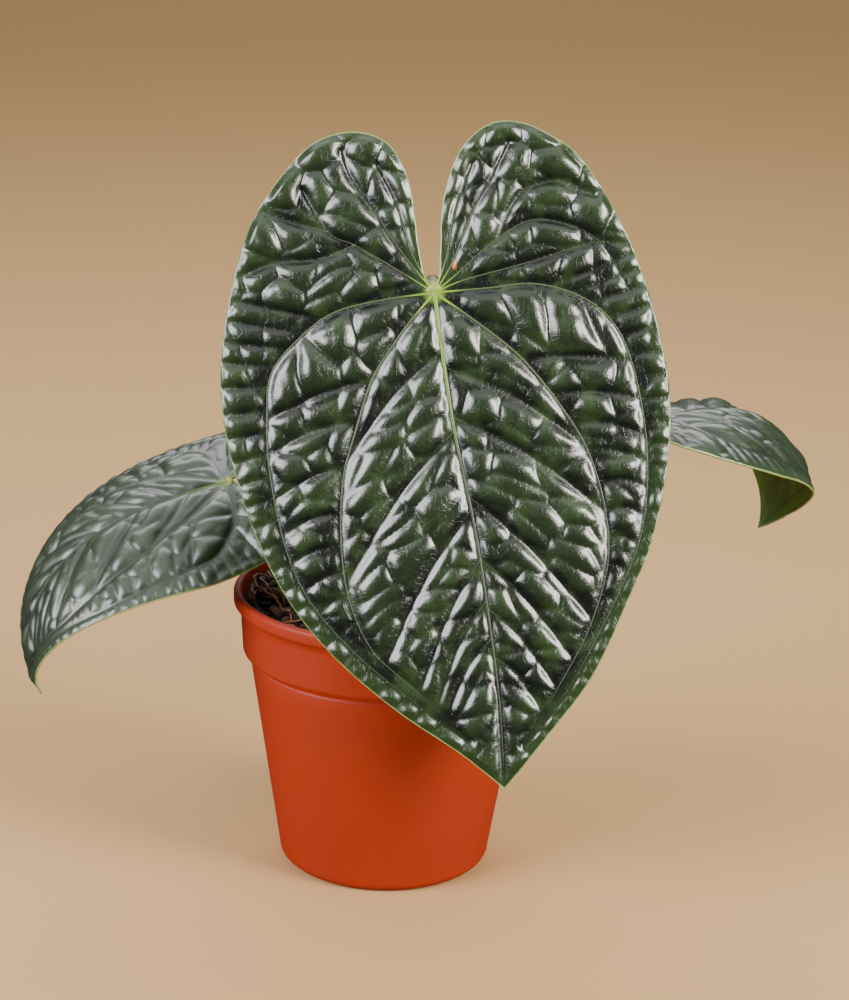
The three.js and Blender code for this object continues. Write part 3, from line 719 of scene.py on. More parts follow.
# %% The ribs
RIB_SIDES = 10
RIB_STEP = 1.3
RIB_ABOVE = 0.54
RIB_BELOW = 1.6
RIB_BROAD = 1.7
RIB_SUNK = 0.05
RIB_END, RIB_CLOSING = 0.15, 8
TAPER = {"main": 0.75, "side": 0.6, "fine": 0.6}


def rib_tube(leaf, relief, line, width, taper):
    """Carries a ring that is flatter above than below along a vein of the bent leaf."""
    line = cut_evenly(line, RIB_STEP)
    along = np.gradient(line, axis=0)
    along /= np.linalg.norm(along, axis=1, keepdims=True)
    sideways = np.stack([along[:, 1], -along[:, 0]], -1)
    share = np.linspace(0, 1, len(line))
    reach = width * (1 - taper * share) * np.minimum(1, RIB_END + RIB_CLOSING * (1 - share))
    turn = ring_angles(RIB_SIDES)
    broad = np.where(np.sin(turn) < -0.01, RIB_BROAD, 1)
    ring = line[:, None] + sideways[:, None] * (reach[:, None] * np.cos(turn) * broad)[..., None]
    rise = np.where(np.sin(turn) > 0, RIB_ABOVE, RIB_BELOW) * np.sin(turn) * reach[:, None]
    base = read_map(relief, line[:, 0], line[:, 1])[:, None]
    under = np.where(np.sin(turn) < 0, THICKNESS * leaf["scale"], 0)
    height = base + rise * leaf["scale"] - under - RIB_SUNK
    flat = np.vstack([ring.reshape(-1, 2), line[:1], line[-1:]])
    heights = np.concatenate([height.ravel(), base[[0, -1], 0] - THICKNESS / 2])
    return flat, heights, ring_faces(len(line), RIB_SIDES)


def add_ribs(name, relief, material, slot):
    """All ribs of a leaf. They carry their distance from the junction and their own thickness."""
    leaf = LEAVES[name]
    parts, widths = [], []
    for kind, taper in TAPER.items():
        for line, width in VEINS[kind]:
            flat, heights, groups = rib_tube(leaf, relief, line, width, taper)
            parts.append((np.column_stack([flat, heights]), groups))
            widths.append(np.full(len(flat), width))
    table, groups = join_parts(parts)
    points = place_on_leaf(leaf, table[:, 0], table[:, 1], table[:, 2])
    fields = {"spread": np.hypot(table[:, 0], table[:, 1]), "width": np.concatenate(widths)}
    add_piece(f"ribs_{name}", points, groups, material, slot, fields=fields, uv=table[:, :2])


# %% [markdown]
# ## Living leaf
# A leaf is waxy skin over green tissue. The tissue has a soft sheen, and the clear wax over it, which is the
# shader's coat, gives sharp bright flashes. The tissue is dark on the domes, and the creases are painted
# darker still as shade. Towards the margin it is lighter, and the very edge is a pale cord whose colour is
# partly a painted highlight on the margin's bevel. The smallest veins are too fine for the mesh, so they are
# pressed into the skin as bump, about 2 mm apart. The skin's own grain is finer than the render can show, so
# it is drawn at half a millimetre. The underside has no wax: it is matt and lighter, and near the margin it
# is painted a brighter green as light shining through the thin edge.

# %% Living leaf
SMALLEST_CELLS_MM = 2.1
SKIN_GRAIN_MM = 0.5
TISSUE_PATCH_MM = 9
# The rim colour is partly a real pale cord and partly a painted highlight on the margin's bevel.
HEART_GREEN, CORKY_SCAR, RIM_CORD_AND_HIGHLIGHT = "#7f9a3c", "#a8552c", "#8ea662"
# The back margin colour is painted light: light shining through the thin edge of the underside.
BACK_CREASE, BACK_MARGIN_LIT_THROUGH = "#58702f", "#5a8a26"


def leaf_material(name, dome, crease_shade, lighter_green, under, roughness):
    """Waxy leaf skin, given the hex colours of its domes, of its creases (painted shade), of the lighter
    green near its margin and of its underside.
    """
    material, tree, where = start_material(name)
    swell, margin, below, spread, scar = (
        add_node(tree, "ShaderNodeAttribute", attribute_name=field).outputs["Fac"]
        for field in ("swell", "margin", "under", "spread", "scar"))
    patches = add_node(tree, "ShaderNodeTexNoise", {
        "Vector": where["Object"], "Scale": per_metre(TISSUE_PATCH_MM), "Detail": 4.0}).outputs[0]
    small = add_node(tree, "ShaderNodeTexVoronoi", {
        "Vector": where["UV"], "Scale": per_metre(SMALLEST_CELLS_MM)},
        feature="DISTANCE_TO_EDGE", voronoi_dimensions="2D").outputs["Distance"]
    grain = add_node(tree, "ShaderNodeTexNoise", {
        "Vector": where["UV"], "Scale": per_metre(SKIN_GRAIN_MM), "Detail": 2.0},
        noise_dimensions="2D").outputs[0]
    on_dome, near_edge, in_patch, at_heart, scarred, at_rim, pressed = (
        add_node(tree, "ShaderNodeMapRange", {
            "Value": source, "From Min": start, "From Max": end, "To Max": most},
            interpolation_type="SMOOTHSTEP").outputs["Result"]
        for source, start, end, most in (
            (swell, 0.1, 0.75, 1.0), (margin, 9.0, 1.5, 0.7), (patches, 0.42, 0.72, 0.75),
            (spread, 5.0, 1.5, 0.85), (scar, 0.3, 0.7, 1.0), (margin, 0.6, 0.2, 1.0),
            (small, 0.0, 0.16, 1.0)))
    # lighter towards the margin and in random patches
    lighter = add_node(tree, "ShaderNodeMath", {0: near_edge, 1: in_patch}, operation="MAXIMUM").outputs[0]
    # painted light: thin marks the underside strip near the margin that is painted brighter green, as light
    # shining through
    thin = add_node(tree, "ShaderNodeMapRange", {
        "Value": margin, "From Min": 7.0, "From Max": 0.5, "To Max": 0.8}).outputs["Result"]
    sides = []
    for tint, layers in (
        # painted shade: the crease colour darkens the creases, and on_dome lifts the domes out of it
        (crease_shade, ((on_dome, dome), (lighter, lighter_green), (at_heart, HEART_GREEN), (scarred, CORKY_SCAR))),
        (BACK_CREASE, ((on_dome, under), (thin, BACK_MARGIN_LIT_THROUGH))),
    ):
        tint = colour(tint)
        for mask, over in layers:
            tint = add_node(tree, "ShaderNodeMix", {0: mask, MIX_A: tint, MIX_B: colour(over)},
                            data_type="RGBA").outputs[MIX_RESULT]
        sides.append(tint)
    both = add_node(tree, "ShaderNodeMix", {0: below, MIX_A: sides[0], MIX_B: sides[1]},
                    data_type="RGBA").outputs[MIX_RESULT]
    # partly painted highlight: the pale rim colour is a real pale cord and also the highlight on the margin's
    # bevel
    skin = add_node(tree, "ShaderNodeMix", {0: at_rim, MIX_A: both, MIX_B: colour(RIM_CORD_AND_HIGHLIGHT)},
                    data_type="RGBA").outputs[MIX_RESULT]
    matt = add_node(tree, "ShaderNodeMapRange", {
        "Value": patches, "From Min": 0.3, "From Max": 0.7, "To Min": roughness - 0.04,
        "To Max": roughness + 0.06}).outputs["Result"]
    dull = add_node(tree, "ShaderNodeMix", {0: below, 2: matt, 3: 0.62}, data_type="FLOAT").outputs[0]
    waxed = add_node(tree, "ShaderNodeMix", {0: below, 2: 1.0, 3: 0.0}, data_type="FLOAT").outputs[0]
    veins = add_node(tree, "ShaderNodeBump", {"Height": pressed, "Strength": 0.5, "Distance": 0.12 * MM})
    finish_material(tree, grain, strength=0.7, depth_mm=0.08, sockets={
        "Base Color": skin, "Roughness": dull, "IOR": 1.48,
        "Coat Weight": waxed, "Coat Roughness": roughness - 0.06, "Coat IOR": 1.62,
    }, under=veins.outputs[0])
    return material


# The second colour of each skin is the painted shade of its creases.
dark_leaf = leaf_material("waxy_dark_leaf_skin", "#1d2b18", "#090f09", "#2c431f", "#3f5526", 0.3)
grey_leaf = leaf_material("dusty_grey_leaf_skin", "#25351f", "#131c12", "#31462a", "#4a6430", 0.39)
dusky_leaf = leaf_material("dusky_leaf_skin", "#26361f", "#121b11", "#33492a", "#43602a", 0.36)

# %% [markdown]
# ## Vein tissue
# The veins hold little green. Next to the junction they are lime, and they turn to the leaf's own grey-green
# on their way out, so their colour follows the distance from the junction that each point carries. Thin veins
# are as dark as the tissue round them, apart from the few millimetres next to the junction.

# %% Vein tissue
STREAK_MM = 1.5


def vein_material(name, near, far, reach, roughness):
    """Cords of pale tissue, whose colour goes from near to far over reach, in mm of the flat leaf."""
    material, tree, where = start_material(name)
    spread, width = (add_node(tree, "ShaderNodeAttribute", attribute_name=field).outputs["Fac"]
                     for field in ("spread", "width"))
    outward, close, thin = (
        add_node(tree, "ShaderNodeMapRange", {
            "Value": source, "From Min": start, "From Max": end, "To Max": most},
            interpolation_type=curve).outputs["Result"]
        for source, start, end, most, curve in (
            (spread, 6.0, reach, 1.0, "SMOOTHSTEP"), (spread, 13.0, 4.0, 1.0, "SMOOTHSTEP"),
            (width, 0.7, 0.48, 0.9, "LINEAR")))
    greener = add_node(tree, "ShaderNodeMath", {0: outward, 1: thin}, operation="MAXIMUM").outputs[0]
    kept = add_node(tree, "ShaderNodeMath", {0: greener, 1: close}, operation="SUBTRACT",
                    use_clamp=True).outputs[0]
    tint = add_node(tree, "ShaderNodeMix", {0: kept, MIX_A: colour(near), MIX_B: colour(far)},
                    data_type="RGBA").outputs[MIX_RESULT]
    streaks = add_node(tree, "ShaderNodeTexNoise", {
        "Vector": where["Object"], "Scale": per_metre(STREAK_MM), "Detail": 3.0}).outputs[0]
    finish_material(tree, streaks, strength=0.3, depth_mm=0.1,
                    sockets={"Base Color": tint, "Roughness": roughness, "IOR": 1.45})
    return material


dark_veins = vein_material("lime_vein_tissue", "#7ea03c", "#465240", 75.0, 0.35)
grey_veins = vein_material("green_vein_tissue", "#6a8c34", "#36492e", 40.0, 0.4)

# %% [markdown]
# ## The three leaves
# The front leaf is the largest and darkest, and its finer veins pull hardest. The left one is dusted grey,
# and the right one lies between the two. Each hands its relief to its own ribs, so that they lie in its
# creases.

# %% The three leaves
for leaf_name, skin, veins, slot in (("front", dark_leaf, dark_veins, "blade_dark"),
                                     ("left", grey_leaf, grey_veins, "blade_grey"),
                                     ("right", dusky_leaf, grey_veins, "blade_dark")):
    leaf_relief = add_blade(leaf_name, skin, slot)
    add_ribs(leaf_name, leaf_relief, veins, slot)

# %% [markdown]
# ## The pot
# The pot is a thin-walled nursery pot, moulded in polypropylene. It has a rolled lip, a band under it that
# makes it stiff, a shoulder, and a plain tapered wall down to a rounded foot with drain holes. The profile is
# carried round the axis, and the drain holes are cut with one Boolean. The grain that a mould leaves is finer
# than the render can show, so it is drawn 0.7 mm coarse. Specks of soil gather towards the rim.

# %% The pot
POT = {"height": 110, "lip": 60, "lip_height": 6, "lip_round": 1.6, "band": 57.4, "band_foot": 86,
       "edge_round": 1.2, "shoulder_foot": 82, "shoulder": 53.4, "base": 41.3, "round": 4, "wall": 1.3,
       "holes": 8, "hole_radius": 3.5, "circle": 29}
POT_SIDES = 192
CLOUD_MM, SPECK_MM, MOULD_GRAIN_MM = 35, 2.2, 0.7


def arc(centre, radius, start, end, count):
    """Points of a circular arc, from one angle to another in degrees."""
    turn = np.radians(np.linspace(start, end, count))
    return np.column_stack([centre[0] + radius * np.cos(turn), centre[1] + radius * np.sin(turn)])


def pot_profile():
    """The pot's outline from the middle of its underside, up its outside, over the lip, down its inside."""
    top, lip, band, shoulder, base = (POT[key] for key in ("height", "lip", "band", "shoulder", "base"))
    band_top, band_foot, shoulder_foot = top - POT["lip_height"], POT["band_foot"], POT["shoulder_foot"]
    wall, foot, edge, bead = POT["wall"], POT["round"], POT["edge_round"], POT["lip_round"]
    side = np.linspace([base + 0.15, foot + 1], [shoulder, shoulder_foot], 12)
    outside = np.vstack([
        [[0, 0], [12, 0], [24, 0]], arc([base - foot, foot], foot, -90, 0, 9), side[1:-1],
        arc([shoulder - edge, shoulder_foot], edge, 0, 50, 4),
        arc([band - bead - 1, band_foot + 0.6], bead, -60, 0, 5),
        np.linspace([band - 0.95, band_foot + 2], [band, band_top - 0.5], 6),
        arc([lip - edge, band_top + bead], edge, -90, 0, 5), arc([lip - bead, top - bead], bead, 0, 90, 7),
    ])
    inside = np.array([
        [lip - bead - 1, top - 0.2], [lip - 3, top - 1], [band - 1.6, band_top],
        [band - edge - wall, band_foot + 0.6], [shoulder - wall, shoulder_foot], [base - wall, foot],
        [base - foot, wall], [20, wall], [0, wall],
    ])
    return np.vstack([outside, inside])


def pot_plastic():
    """Moulded polypropylene: even colour, satin, with a fine grain from the mould and dust in its scuffs."""
    material, tree, where = start_material("terracotta_polypropylene")
    clouds, specks, grain = (
        add_node(tree, "ShaderNodeTexNoise", {
            "Vector": where["Object"], "Scale": per_metre(size), "Detail": detail,
            "Roughness": uneven}).outputs[0]
        for size, detail, uneven in ((CLOUD_MM, 5.0, 0.5), (SPECK_MM, 3.0, 0.7), (MOULD_GRAIN_MM, 2.0, 0.5)))
    height = add_node(tree, "ShaderNodeSeparateXYZ", {0: where["Object"]}).outputs[2]
    near_rim = add_node(tree, "ShaderNodeMapRange", {
        "Value": height, "From Min": 85 * MM, "From Max": 112 * MM, "To Max": 0.10}).outputs["Result"]
    level = add_node(tree, "ShaderNodeMath", {0: 0.74, 1: near_rim}, operation="SUBTRACT").outputs[0]
    soil = add_node(tree, "ShaderNodeMath", {0: specks, 1: level}, operation="GREATER_THAN").outputs[0]
    tint = colour("#a02a04")
    for mask, over in ((clouds, "#8c2203"), (soil, "#5a2a14")):
        tint = add_node(tree, "ShaderNodeMix", {0: mask, MIX_A: tint, MIX_B: colour(over)},
                        data_type="RGBA").outputs[MIX_RESULT]
    scuffs = add_node(tree, "ShaderNodeMapRange", {
        "Value": clouds, "From Min": 0.3, "From Max": 0.7, "To Min": 0.5, "To Max": 0.62}).outputs["Result"]
    finish_material(tree, grain, strength=0.25, depth_mm=0.05, sockets={
        "Base Color": tint, "Roughness": scuffs, "IOR": 1.42,
        "Subsurface Weight": 0.05, "Subsurface Radius": (0.004, 0.0015, 0.0008), "Subsurface Scale": 0.3,
    })
    return material


def add_pot():
    """The turned shell, with its drain holes cut by cylinders that are then removed."""
    points, groups = turned_body(pot_profile(), POT_SIDES)
    pot = add_piece("nursery_pot", points, groups, pot_plastic(), "pot", ["pot"])
    pegs = []
    for k in range(POT["holes"]):
        turn = k / POT["holes"] * 2 * math.pi
        x, y = POT["circle"] * math.cos(turn), POT["circle"] * math.sin(turn)
        pegs.append(tube([[x, y, -2], [x, y, 1], [x, y, 4]], [POT["hole_radius"]] * 3, 24))
    cutter = add_object("pegs", *join_parts(pegs), smooth=False)
    cut = pot.modifiers.new("drain_holes", "BOOLEAN")
    cut.operation, cut.object, cut.solver = "DIFFERENCE", cutter, "EXACT"
    shell = bpy.data.meshes.new_from_object(pot.evaluated_get(bpy.context.evaluated_depsgraph_get()))
    pot.modifiers.clear()
    pot.data = shell
    bpy.data.objects.remove(cutter)
    print("pot faces after the drain holes:", len(shell.polygons))


add_pot()

# %% [markdown]
# ## The potting mix
# The mix is mostly bark: a dark bed, flakes of bark of 3 to 10 mm lying at all angles, crumbs between them
# and thin brown roots across the top. The bed is a turned body with an uneven top, heaped up on one side. The
# flakes are many copies of one small pebble, each stretched, turned and roughened by seeded random numbers,
# all at once as arrays.

# %% The bed of the mix
MIX = {"level": 99.2, "clearance": 0.4, "rings": 34, "sides": 120, "lumps": 17, "unevenness": 1.3,
       "rise": 1.6, "rise_reach": 16, "dip": 1.2, "heap": 9.5, "heap_way": (-0.9, 0.35)}
WAVES, WAVE_SHRINK, WAVE_FADE = 3, 0.55, 0.6
BED_BODY = [[0, 1.7], [36.3, 1.7], [39.6, 5], [51.7, 82]]
BED_NECK = [87.5, 93]
BED_TONE = 0.25
STEM = {"x": 2, "y": 5, "radius": 7, "foot": 86, "top": 121}
MIX_RADIUS = POT["band"] - POT["edge_round"] - POT["wall"] - MIX["clearance"]


def bumpy(x, y, size, seed, octaves=4):
    """Uneven ground: sums of crossed sine waves of falling size, each at a random angle and shift."""
    random = np.random.default_rng(seed)
    total = np.zeros(np.shape(x))
    for k in range(octaves):
        for _ in range(WAVES):
            angle, shift = random.uniform(0, 2 * math.pi, 2)
            wave = (x * math.cos(angle) + y * math.sin(angle)) * 2 * math.pi / (size * WAVE_SHRINK**k)
            total += WAVE_FADE**k * np.sin(wave + shift) / WAVES
    return total


def mix_top(x, y):
    """The height of the bed: it rises round the stem, dips towards the wall and is heaped up on the left."""
    from_stem = np.hypot(x - STEM["x"], y - STEM["y"])
    rise = MIX["rise"] * np.exp(-(from_stem / MIX["rise_reach"]) ** 2)
    rise = rise - MIX["dip"] * (np.hypot(x, y) / MIX_RADIUS) ** 4
    to_heap = (x * MIX["heap_way"][0] + y * MIX["heap_way"][1]) / MIX_RADIUS
    rise = rise + MIX["heap"] * np.clip(to_heap, 0, 1)
    return MIX["level"] + rise + MIX["unevenness"] * bumpy(x, y, MIX["lumps"], 5)


def add_bed(material):
    """The bed: its body follows the inside of the pot, and its top is raised by the height of the ground."""
    neck = [[MIX_RADIUS, height] for height in BED_NECK]
    top = [[MIX_RADIUS * k / MIX["rings"], MIX["level"]] for k in range(MIX["rings"], -1, -1)]
    points, groups = turned_body(BED_BODY + neck + top, MIX["sides"])
    is_top = points[:, 2] > MIX["level"] - 0.1
    points[is_top, 2] = mix_top(points[is_top, 0], points[is_top, 1])
    add_piece("bark_mix_bed", points, groups, material, "potting_mix", ["potting_mix"],
              {"tone": np.full(len(points), BED_TONE)})


# %% Bark flakes and crumbs
PEBBLE_RINGS, PEBBLE_SIDES = 4, 6
STEM_CLEARANCE, WALL_CLEARANCE = 2.5, 1.2
CHUNK_ROUGHNESS, CHUNK_STRETCH = 0.3, (0.7, 1.3)
FLECK_MM = 1.6


def pebble():
    """A ball of a few dozen faces, as points at radius one."""
    turn = np.linspace(0, math.pi, PEBBLE_RINGS + 2)
    return turned_body(np.column_stack([np.sin(turn), -np.cos(turn)]), PEBBLE_SIDES)


def random_turns(random, count, lean):
    """Rotation matrices: any turn about Z after a lean of up to lean radians about X and about Y."""
    a, b = random.uniform(-lean, lean, (2, count))
    c = random.uniform(0, 2 * math.pi, count)
    one, zero = np.ones(count), np.zeros(count)
    about_x = np.array([[one, zero, zero], [zero, np.cos(a), -np.sin(a)], [zero, np.sin(a), np.cos(a)]])
    about_y = np.array([[np.cos(b), zero, np.sin(b)], [zero, one, zero], [-np.sin(b), zero, np.cos(b)]])
    about_z = np.array([[np.cos(c), -np.sin(c), zero], [np.sin(c), np.cos(c), zero], [zero, zero, one]])
    return np.einsum("ijn,jkn,kln->nil", about_z, about_y, about_x)


def scatter_chunks(count, size, shape, lean, seed, lift):
    """Copies of the pebble over the bed, as one list of points, with a tone for each copy."""
    random = np.random.default_rng(seed)
    base, groups = pebble()
    sizes = random.uniform(*size, count)
    turn = random.uniform(0, 2 * math.pi, count)
    reach = np.sqrt(random.uniform(0, 1, count)) * (MIX_RADIUS - sizes * WALL_CLEARANCE)
    x, y = reach * np.cos(turn), reach * np.sin(turn)
    away = np.hypot(x - STEM["x"], y - STEM["y"])
    push = np.maximum(0, STEM["radius"] + STEM_CLEARANCE + sizes * 0.5 - away) / np.maximum(away, 0.1)
    x, y = x + (x - STEM["x"]) * push, y + (y - STEM["y"]) * push
    rough = 1 + random.uniform(-CHUNK_ROUGHNESS, CHUNK_ROUGHNESS, (count, len(base), 1))
    stretch = sizes[:, None] * np.asarray(shape) * random.uniform(*CHUNK_STRETCH, (count, 3)) / 2
    points = np.einsum("nij,nvj->nvi", random_turns(random, count, lean), base * rough * stretch[:, None])
    place = np.column_stack([x, y, mix_top(x, y) + lift * sizes])
    points = (points + place[:, None]).reshape(-1, 3)
    tones = np.repeat(random.uniform(0, 1, count), len(base))
    starts = np.arange(count) * len(base)
    spread = [(faces[None] + starts[:, None, None]).reshape(-1, faces.shape[1]) for faces in groups]
    return points, spread, tones


def bark_material():
    """Composted pine bark: near black when damp, red-brown where it is dry, with a rough, fibrous break."""
    material, tree, where = start_material("damp_pine_bark")
    tone = add_node(tree, "ShaderNodeAttribute", attribute_name="tone").outputs["Fac"]
    flecks = add_node(tree, "ShaderNodeTexNoise", {
        "Vector": where["Object"], "Scale": per_metre(FLECK_MM), "Detail": 5.0, "Roughness": 0.65}).outputs[0]
    dry = add_node(tree, "ShaderNodeMath", {0: tone, 1: flecks}, operation="MULTIPLY").outputs[0]
    dryness = add_node(tree, "ShaderNodeMapRange", {"Value": dry, "From Min": 0.12, "From Max": 0.62},
                       interpolation_type="SMOOTHSTEP").outputs["Result"]
    tint = add_node(tree, "ShaderNodeMix", {0: dryness, MIX_A: colour("#150b06"), MIX_B: colour("#5b3a22")},
                    data_type="RGBA").outputs[MIX_RESULT]
    finish_material(tree, flecks, strength=0.8, depth_mm=0.5, sockets={"Base Color": tint, "Roughness": 0.85})
    return material


bark = bark_material()
add_bed(bark)
for piece_name, options in {
    "bark_flakes": dict(count=520, size=(3.5, 9.5), shape=(1.3, 0.9, 0.42), lean=0.7, seed=21, lift=0.12),
    "bark_crumbs": dict(count=1500, size=(1.1, 3), shape=(1.1, 0.9, 0.7), lean=1.5, seed=22, lift=0.25),
}.items():
    chunk_points, chunk_groups, tones = scatter_chunks(**options)
    add_piece(piece_name, chunk_points, chunk_groups, bark, "potting_mix", fields={"tone": tones})

# %% Roots across the mix
ROOT_POINTS, ROOT_SIDES, ROOT_STEP, ROOT_LIFT = 14, 6, 1.2, 0.6
ROOT_LENGTHS, ROOT_RADII, ROOT_ARCH, ROOT_WANDER = (12, 34), (0.22, 0.6), (0.5, 3.5), 0.28
WALL_GAP = 1.5
ROOT_RING_MM = 2.5


def scatter_roots(count, seed):
    """Thin roots that wander over the bed: each is a tube whose direction turns by a random walk."""
    random = np.random.default_rng(seed)
    parts = []
    for k in range(count):
        length = random.uniform(*ROOT_LENGTHS)
        heading = random.uniform(0, 2 * math.pi) + np.cumsum(random.normal(0, ROOT_WANDER, ROOT_POINTS))
        step = length / ROOT_POINTS
        by_wall = k % 2 == 0
        turn = random.uniform(2.2, 4.6) if by_wall else random.uniform(0, 2 * math.pi)
        reach = random.uniform(0.55, 0.93) if by_wall else random.uniform(0.3, 0.85)
        x = reach * MIX_RADIUS * math.cos(turn) + np.cumsum(np.cos(heading)) * step
        y = reach * MIX_RADIUS * math.sin(turn) + np.cumsum(np.sin(heading)) * step
        out = np.maximum(1, np.hypot(x, y) / (MIX_RADIUS - WALL_GAP))
        x, y = x / out, y / out
        arch = np.sin(np.linspace(0, math.pi, ROOT_POINTS)) * random.uniform(*ROOT_ARCH)
        path = smooth_line(np.column_stack([x, y, mix_top(x, y) + arch + ROOT_LIFT]), ROOT_STEP)
        radius = random.uniform(*ROOT_RADII)
        parts.append(tube(path, np.full(len(path), radius), ROOT_SIDES, across=[0, 0, 1]))
    return join_parts(parts)


def root_material():
    """Thin feeding roots: a corky orange-brown skin with darker rings."""
    material, tree, where = start_material("corky_root_skin")
    rings = add_node(tree, "ShaderNodeTexNoise", {
        "Vector": where["Object"], "Scale": per_metre(ROOT_RING_MM), "Detail": 4.0}).outputs[0]
    tint = add_node(tree, "ShaderNodeMix", {0: rings, MIX_A: colour("#5a2f16"), MIX_B: colour("#b87a44")},
                    data_type="RGBA").outputs[MIX_RESULT]
    finish_material(tree, rings, strength=0.5, depth_mm=0.2, sockets={"Base Color": tint, "Roughness": 0.6})
    return material


root_skin = root_material()
add_piece("feeding_roots", *scatter_roots(count=70, seed=31), root_skin, "potting_mix")

# %% [markdown]
# ## The stem, its sheaths and the stalks
# The stem is short and ringed by the scars of old leaves. Papery sheaths stand round its top, and thick roots
# arch out of it into the mix. Each stalk is a tube through a few points, a little square in section, thicker
# at its foot and swollen into a knee under the blade, where the living leaf turns to the light.

# %% Stalk paths
STALK_ROUTES = {
    "front": [[2, 8, 106], [3, 15, 117], [7, 23, 150], [12, 24, 190], [14, 13, 222]],
    "left": [[-1, 3, 110], [-10, 2, 119], [-29, 6, 130]],
    "right": [[5, 4, 108], [14, 4, 119], [38, 9, 139], [70, 12, 156]],
}
STALK = {"foot": 3.7, "foot_reach": 9, "radius": 2.5, "knee": 3.2, "knee_length": 17, "approach": 12,
         "overshoot": 5, "sides": 24, "step": 0.9, "squareness": 0.05}
STALK_FLECK_MM = 1.1


def chordal_line(points, step):
    """A smooth line whose speed through each point follows the root of the distance to the next one."""
    p = np.asarray(points, float)
    p = np.vstack([2 * p[0] - p[1], p, 2 * p[-1] - p[-2]])
    spans = np.sqrt(np.linalg.norm(np.diff(p, axis=0), axis=1))
    before, start, end, after = (p[k:len(p) - 3 + k, None] for k in range(4))
    d0, d1, d2 = (spans[k:len(spans) - 2 + k, None, None] for k in range(3))
    leave = ((start - before) / d0 - (end - before) / (d0 + d1) + (end - start) / d1) * d1
    arrive = ((end - start) / d1 - (after - start) / (d1 + d2) + (after - end) / d2) * d1
    return cut_evenly(np.vstack([cubic(start, end, leave, arrive).reshape(-1, 3), p[-2:-1]]), step)


def stalk_path(name):
    """The way of a stalk from the stem to the back of its blade."""
    leaf = LEAVES[name]
    facing, along, junction = unit(leaf["facing"]), np.array(leaf["along"]), np.array(leaf["junction"])
    below = junction - facing * STALK["approach"] - along * STALK["overshoot"]
    return chordal_line([*STALK_ROUTES[name], below, junction - facing * 0.4], STALK["step"])


def stalk_material():
    """Leaf stalk: firm green skin with brown flecks, duller and browner towards its foot."""
    material, tree, where = start_material("flecked_stalk_skin")
    share = add_node(tree, "ShaderNodeAttribute", attribute_name="share").outputs["Fac"]
    flecks = add_node(tree, "ShaderNodeTexNoise", {
        "Vector": where["Object"], "Scale": per_metre(STALK_FLECK_MM), "Detail": 4.0,
        "Roughness": 0.7}).outputs[0]
    tint = colour("#6f8438")
    for source, start, end, most, curve, over in (
        (share, 0.3, 0.0, 1.0, "LINEAR", "#5a5a2c"), (share, 0.82, 0.97, 1.0, "SMOOTHSTEP", "#93a64a"),
        (flecks, 0.55, 0.66, 0.6, "SMOOTHSTEP", "#6a4a2a"),
    ):
        mask = add_node(tree, "ShaderNodeMapRange", {
            "Value": source, "From Min": start, "From Max": end, "To Max": most},
            interpolation_type=curve).outputs["Result"]
        tint = add_node(tree, "ShaderNodeMix", {0: mask, MIX_A: tint, MIX_B: colour(over)},
                        data_type="RGBA").outputs[MIX_RESULT]
    finish_material(tree, flecks, strength=0.4, depth_mm=0.15,
                    sockets={"Base Color": tint, "Roughness": 0.42, "IOR": 1.45})
    return material


def add_stalk(name, material):
    """One stalk as a tube, thicker at its foot and at its knee."""
    path = stalk_path(name)
    share = np.linspace(0, 1, len(path))
    length = len(path) * STALK["step"]
    foot = (STALK["foot"] - STALK["radius"]) * np.exp(-share * length / STALK["foot_reach"])
    knee = np.clip((share - (1 - STALK["knee_length"] / length)) / 0.08, 0, 1)
    swollen = (STALK["knee"] - STALK["radius"]) * knee**2 * (3 - 2 * knee)
    points, groups = tube(path, STALK["radius"] + foot + swollen, STALK["sides"], STALK["squareness"],
                          across=[0.2, 1, 0.1])
    shares = np.concatenate([np.repeat(share, STALK["sides"]), [0, 1]])
    add_piece(f"stalk_{name}", points, groups, material, "petiole", [f"petiole_{name}"], {"share": shares})


stalk_skin = stalk_material()
for leaf_name in LEAVES:
    add_stalk(leaf_name, stalk_skin)

# %% The stem
AERIAL_ROOT = {"count": 5, "radius": 1.5, "reach": 17, "top": 108, "bend": 102, "end": 95}
SHEATH = {"count": 3, "radius": 3.4, "foot": 104.5, "height": 17, "splay": 0.12, "lean": 0.22, "reach": 4.4}
SCARS, SCAR_DEPTH = 5, 0.7
TAPERED_OFF = 0.25
BUD_RADIUS, BUD_HEIGHT = 4.9, 8
STEM_SIDES = 48
BLOTCH_MM = 5


def stem_axis():
    """The ringed stem: its radius tapers upwards and dips at each leaf scar."""
    height = np.linspace(0, 1, 60)
    straight = STEM["top"] - STEM["foot"] - BUD_HEIGHT
    scars = SCAR_DEPTH * np.abs(np.sin(height * SCARS * math.pi)) ** 0.5 - SCAR_DEPTH / 2
    radius = STEM["radius"] * (1 - TAPERED_OFF * height) + scars
    profile = np.vstack([[[0, STEM["foot"]]], np.column_stack([radius, STEM["foot"] + straight * height]),
                         arc([0, STEM["top"] - BUD_HEIGHT], BUD_RADIUS, 20, 80, 6), [[0, STEM["top"] - 3]]])
    points, groups = turned_body(profile, STEM_SIDES)
    return points + [STEM["x"], STEM["y"], 0], groups


def sheath(turn):
    """A papery sheath: a cone curved outwards and pointed at its top."""
    height = np.linspace(0, 1, 26)
    out = np.array([math.cos(turn), math.sin(turn)])
    lean = SHEATH["height"] * (SHEATH["splay"] * height + SHEATH["lean"] * height**2)
    place = [STEM["x"], STEM["y"]] + out * (SHEATH["reach"] + lean[:, None])
    path = np.column_stack([place, SHEATH["foot"] + SHEATH["height"] * height])
    radius = SHEATH["radius"] * np.sqrt(np.clip(1 - height**1.6, 0.001, 1))
    return tube(path, radius, 20, across=[-out[1], out[0], 0])


